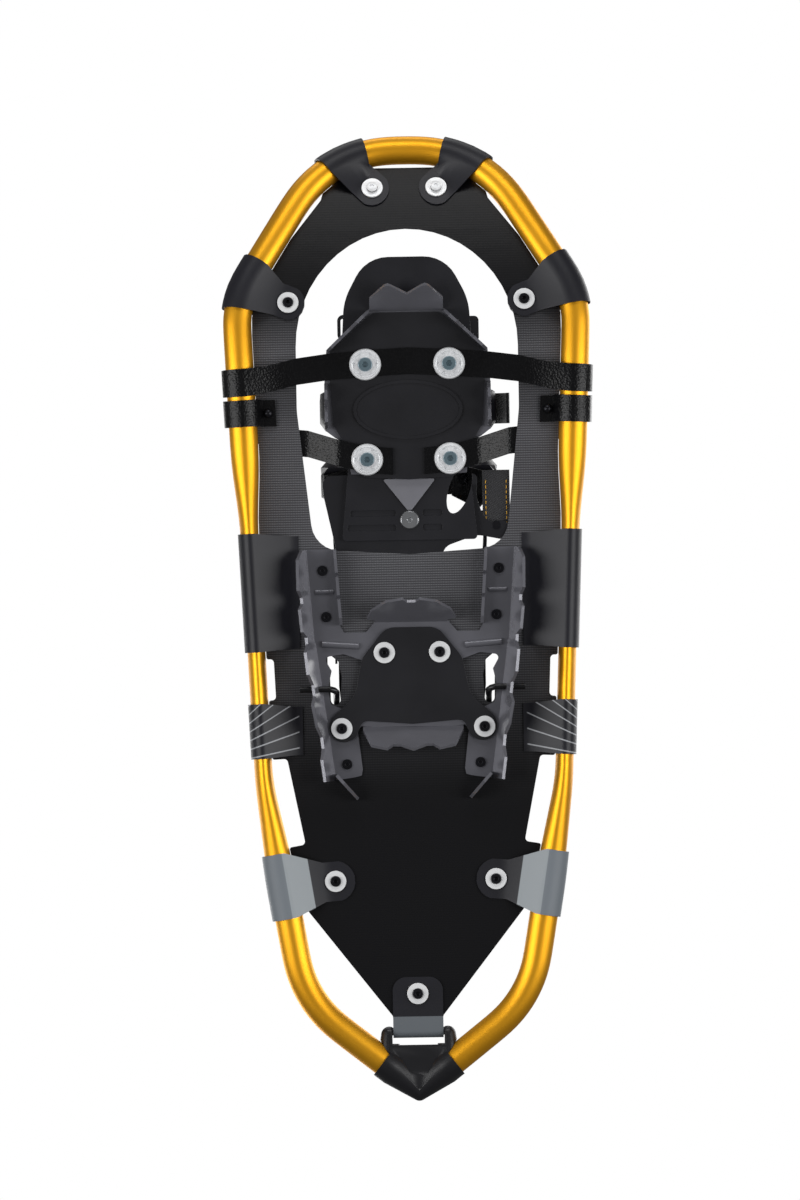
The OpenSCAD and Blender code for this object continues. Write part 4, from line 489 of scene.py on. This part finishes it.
# pan heads on the two toe rivets: bright zinc, domed, with a small drive recess
panHead = {"radius": 0.0035, "height": 0.0011, "recess": 0.0009, "sides": 32}
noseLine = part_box("toe_wrap_left")[0][1]
for side, pieceName in ((-1, "toePanHeadLeft"), (1, "toePanHeadRight")):
    caps = [face for face in cadNodes["wrap_rivets"].data.polygons
            if face.center.y > noseLine and face.center.x * side > 0 and face.normal.z < -0.7]
    outermost = max(caps, key=lambda face: face.center.dot(face.normal))
    outward = outermost.normal.normalized()
    ringOf = [cadNodes["wrap_rivets"].data.vertices[i].co for face in caps for i in face.vertices]
    nearCorner = Vector([min(c[k] for c in ringOf) for k in range(3)])
    farCorner = Vector([max(c[k] for c in ringOf) for k in range(3)])
    centre = (nearCorner + farCorner) / 2
    seat = centre + outward * ((outermost.center - centre).dot(outward) + panHead["height"] * 0.3)
    bpy.ops.object.select_all(action="DESELECT")
    bpy.ops.mesh.primitive_cylinder_add(vertices=panHead["sides"], radius=panHead["radius"],
                                        depth=panHead["height"], location=seat,
                                        rotation=outward.to_track_quat("Z", "Y").to_euler())
    head = bpy.context.active_object
    head.name = pieceName
    bpy.ops.object.mode_set(mode="EDIT")
    bpy.ops.mesh.select_mode(type="FACE")
    bpy.ops.mesh.select_all(action="DESELECT")
    bpy.ops.object.mode_set(mode="OBJECT")
    for face in head.data.polygons:
        face.select = face.normal.z > 0.9
    bpy.ops.object.mode_set(mode="EDIT")
    bpy.ops.mesh.inset(thickness=panHead["radius"] * 0.3, depth=panHead["height"] * 0.25)
    bpy.ops.mesh.inset(thickness=panHead["radius"] * 0.28, depth=panHead["height"] * 0.05)
    bpy.ops.mesh.inset(thickness=panHead["radius"] * 0.04, depth=-panHead["recess"])
    bpy.ops.mesh.select_all(action="DESELECT")
    bpy.ops.object.mode_set(mode="OBJECT")
    bpy.ops.object.transform_apply(location=True, rotation=True, scale=True)
    bpy.ops.object.shade_smooth_by_angle(angle=math.radians(35))
    head.data.materials.append(finishes["zincWasher"])
    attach(head, "frame")
    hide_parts("wrap_rivets")

# raised bead round each of the four flange washers
bead = {"inFromRim": 0.0021, "thick": 0.00055, "lift": 0.0009, "boltHead": 0.0047, "flatten": 0.7}
flangeLow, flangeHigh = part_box("flange_washers")
boltLow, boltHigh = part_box("binding_bolts")
flangeRadius = (flangeHigh[0] - flangeLow[0]) / 2 - (boltHigh[0] - boltLow[0]) / 2 + bead["boltHead"]
for nodeX in (flangeLow[0] + flangeRadius, flangeHigh[0] - flangeRadius):
    for nodeY in (flangeLow[1] + flangeRadius, flangeHigh[1] - flangeRadius):
        bpy.ops.object.select_all(action="DESELECT")
        beadPlace = (nodeX, nodeY, flangeLow[2] + bead["lift"])
        bpy.ops.mesh.primitive_torus_add(major_segments=40, minor_segments=8, minor_radius=bead["thick"],
                                         major_radius=flangeRadius - bead["inFromRim"], location=beadPlace)
        ring = bpy.context.active_object
        ring.name = "flangeBead" + ("Left" if nodeX < 0 else "Right") + ("Rear" if nodeY < 0.13 else "Front")
        bpy.ops.object.mode_set(mode="EDIT")
        bpy.ops.mesh.select_all(action="SELECT")
        bpy.ops.transform.resize(value=(1, 1, bead["flatten"]), center_override=beadPlace)
        bpy.ops.mesh.select_all(action="DESELECT")
        bpy.ops.object.mode_set(mode="OBJECT")
        bpy.ops.object.transform_apply(location=True, rotation=True, scale=True)
        bpy.ops.object.shade_smooth_by_angle(angle=math.radians(60))
        ring.data.materials.append(finishes["zincFlange"])
        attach(ring, "binding")
        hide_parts("flange_washers")
print("fasteners detailed")

# two rows of gold stitches along the edges of the heel webbing, on the face that shows from below
stitch = {"length": 0.0022, "pitch": 0.0034, "radius": 0.00032, "inFromEdge": 0.0022, "fromTail": 0.004,
          "fromFront": 0.003}
stitchRows = (("heelStitchesLeft", 0, 1), ("heelStitchesRight", 1, -1))
webLow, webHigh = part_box("heel_webbing")
rowStart = webLow[1] + stitch["fromTail"]
rowCount = int((webHigh[1] - stitch["fromFront"] - rowStart) / stitch["pitch"])
for rowName, edge, inward in stitchRows:
    rowX = (webLow, webHigh)[edge][0] + inward * stitch["inFromEdge"]
    bpy.ops.object.select_all(action="DESELECT")
    bpy.ops.mesh.primitive_cylinder_add(vertices=6, radius=stitch["radius"], depth=stitch["length"],
                                        location=(rowX, rowStart, webLow[2]), rotation=(math.pi / 2, 0, 0))
    row = bpy.context.active_object
    row.name = rowName
    bpy.ops.object.mode_set(mode="EDIT")
    bpy.ops.mesh.select_all(action="SELECT")
    bpy.ops.mesh.bevel(offset=stitch["radius"] * 0.45, segments=1)
    bpy.ops.mesh.select_all(action="SELECT")
    for step in range(rowCount - 1):
        bpy.ops.mesh.duplicate_move(TRANSFORM_OT_translate={"value": (0, stitch["pitch"], 0)})
    bpy.ops.mesh.select_all(action="DESELECT")
    bpy.ops.object.mode_set(mode="OBJECT")
    bpy.ops.object.transform_apply(location=True, rotation=True, scale=True)
    bpy.ops.object.shade_smooth_by_angle(angle=math.radians(50))
    row.data.materials.append(finishes["thread"])
    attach(row, bodyOfNode["heel_webbing"])
    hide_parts("heel_webbing")
print("stitching sewn")
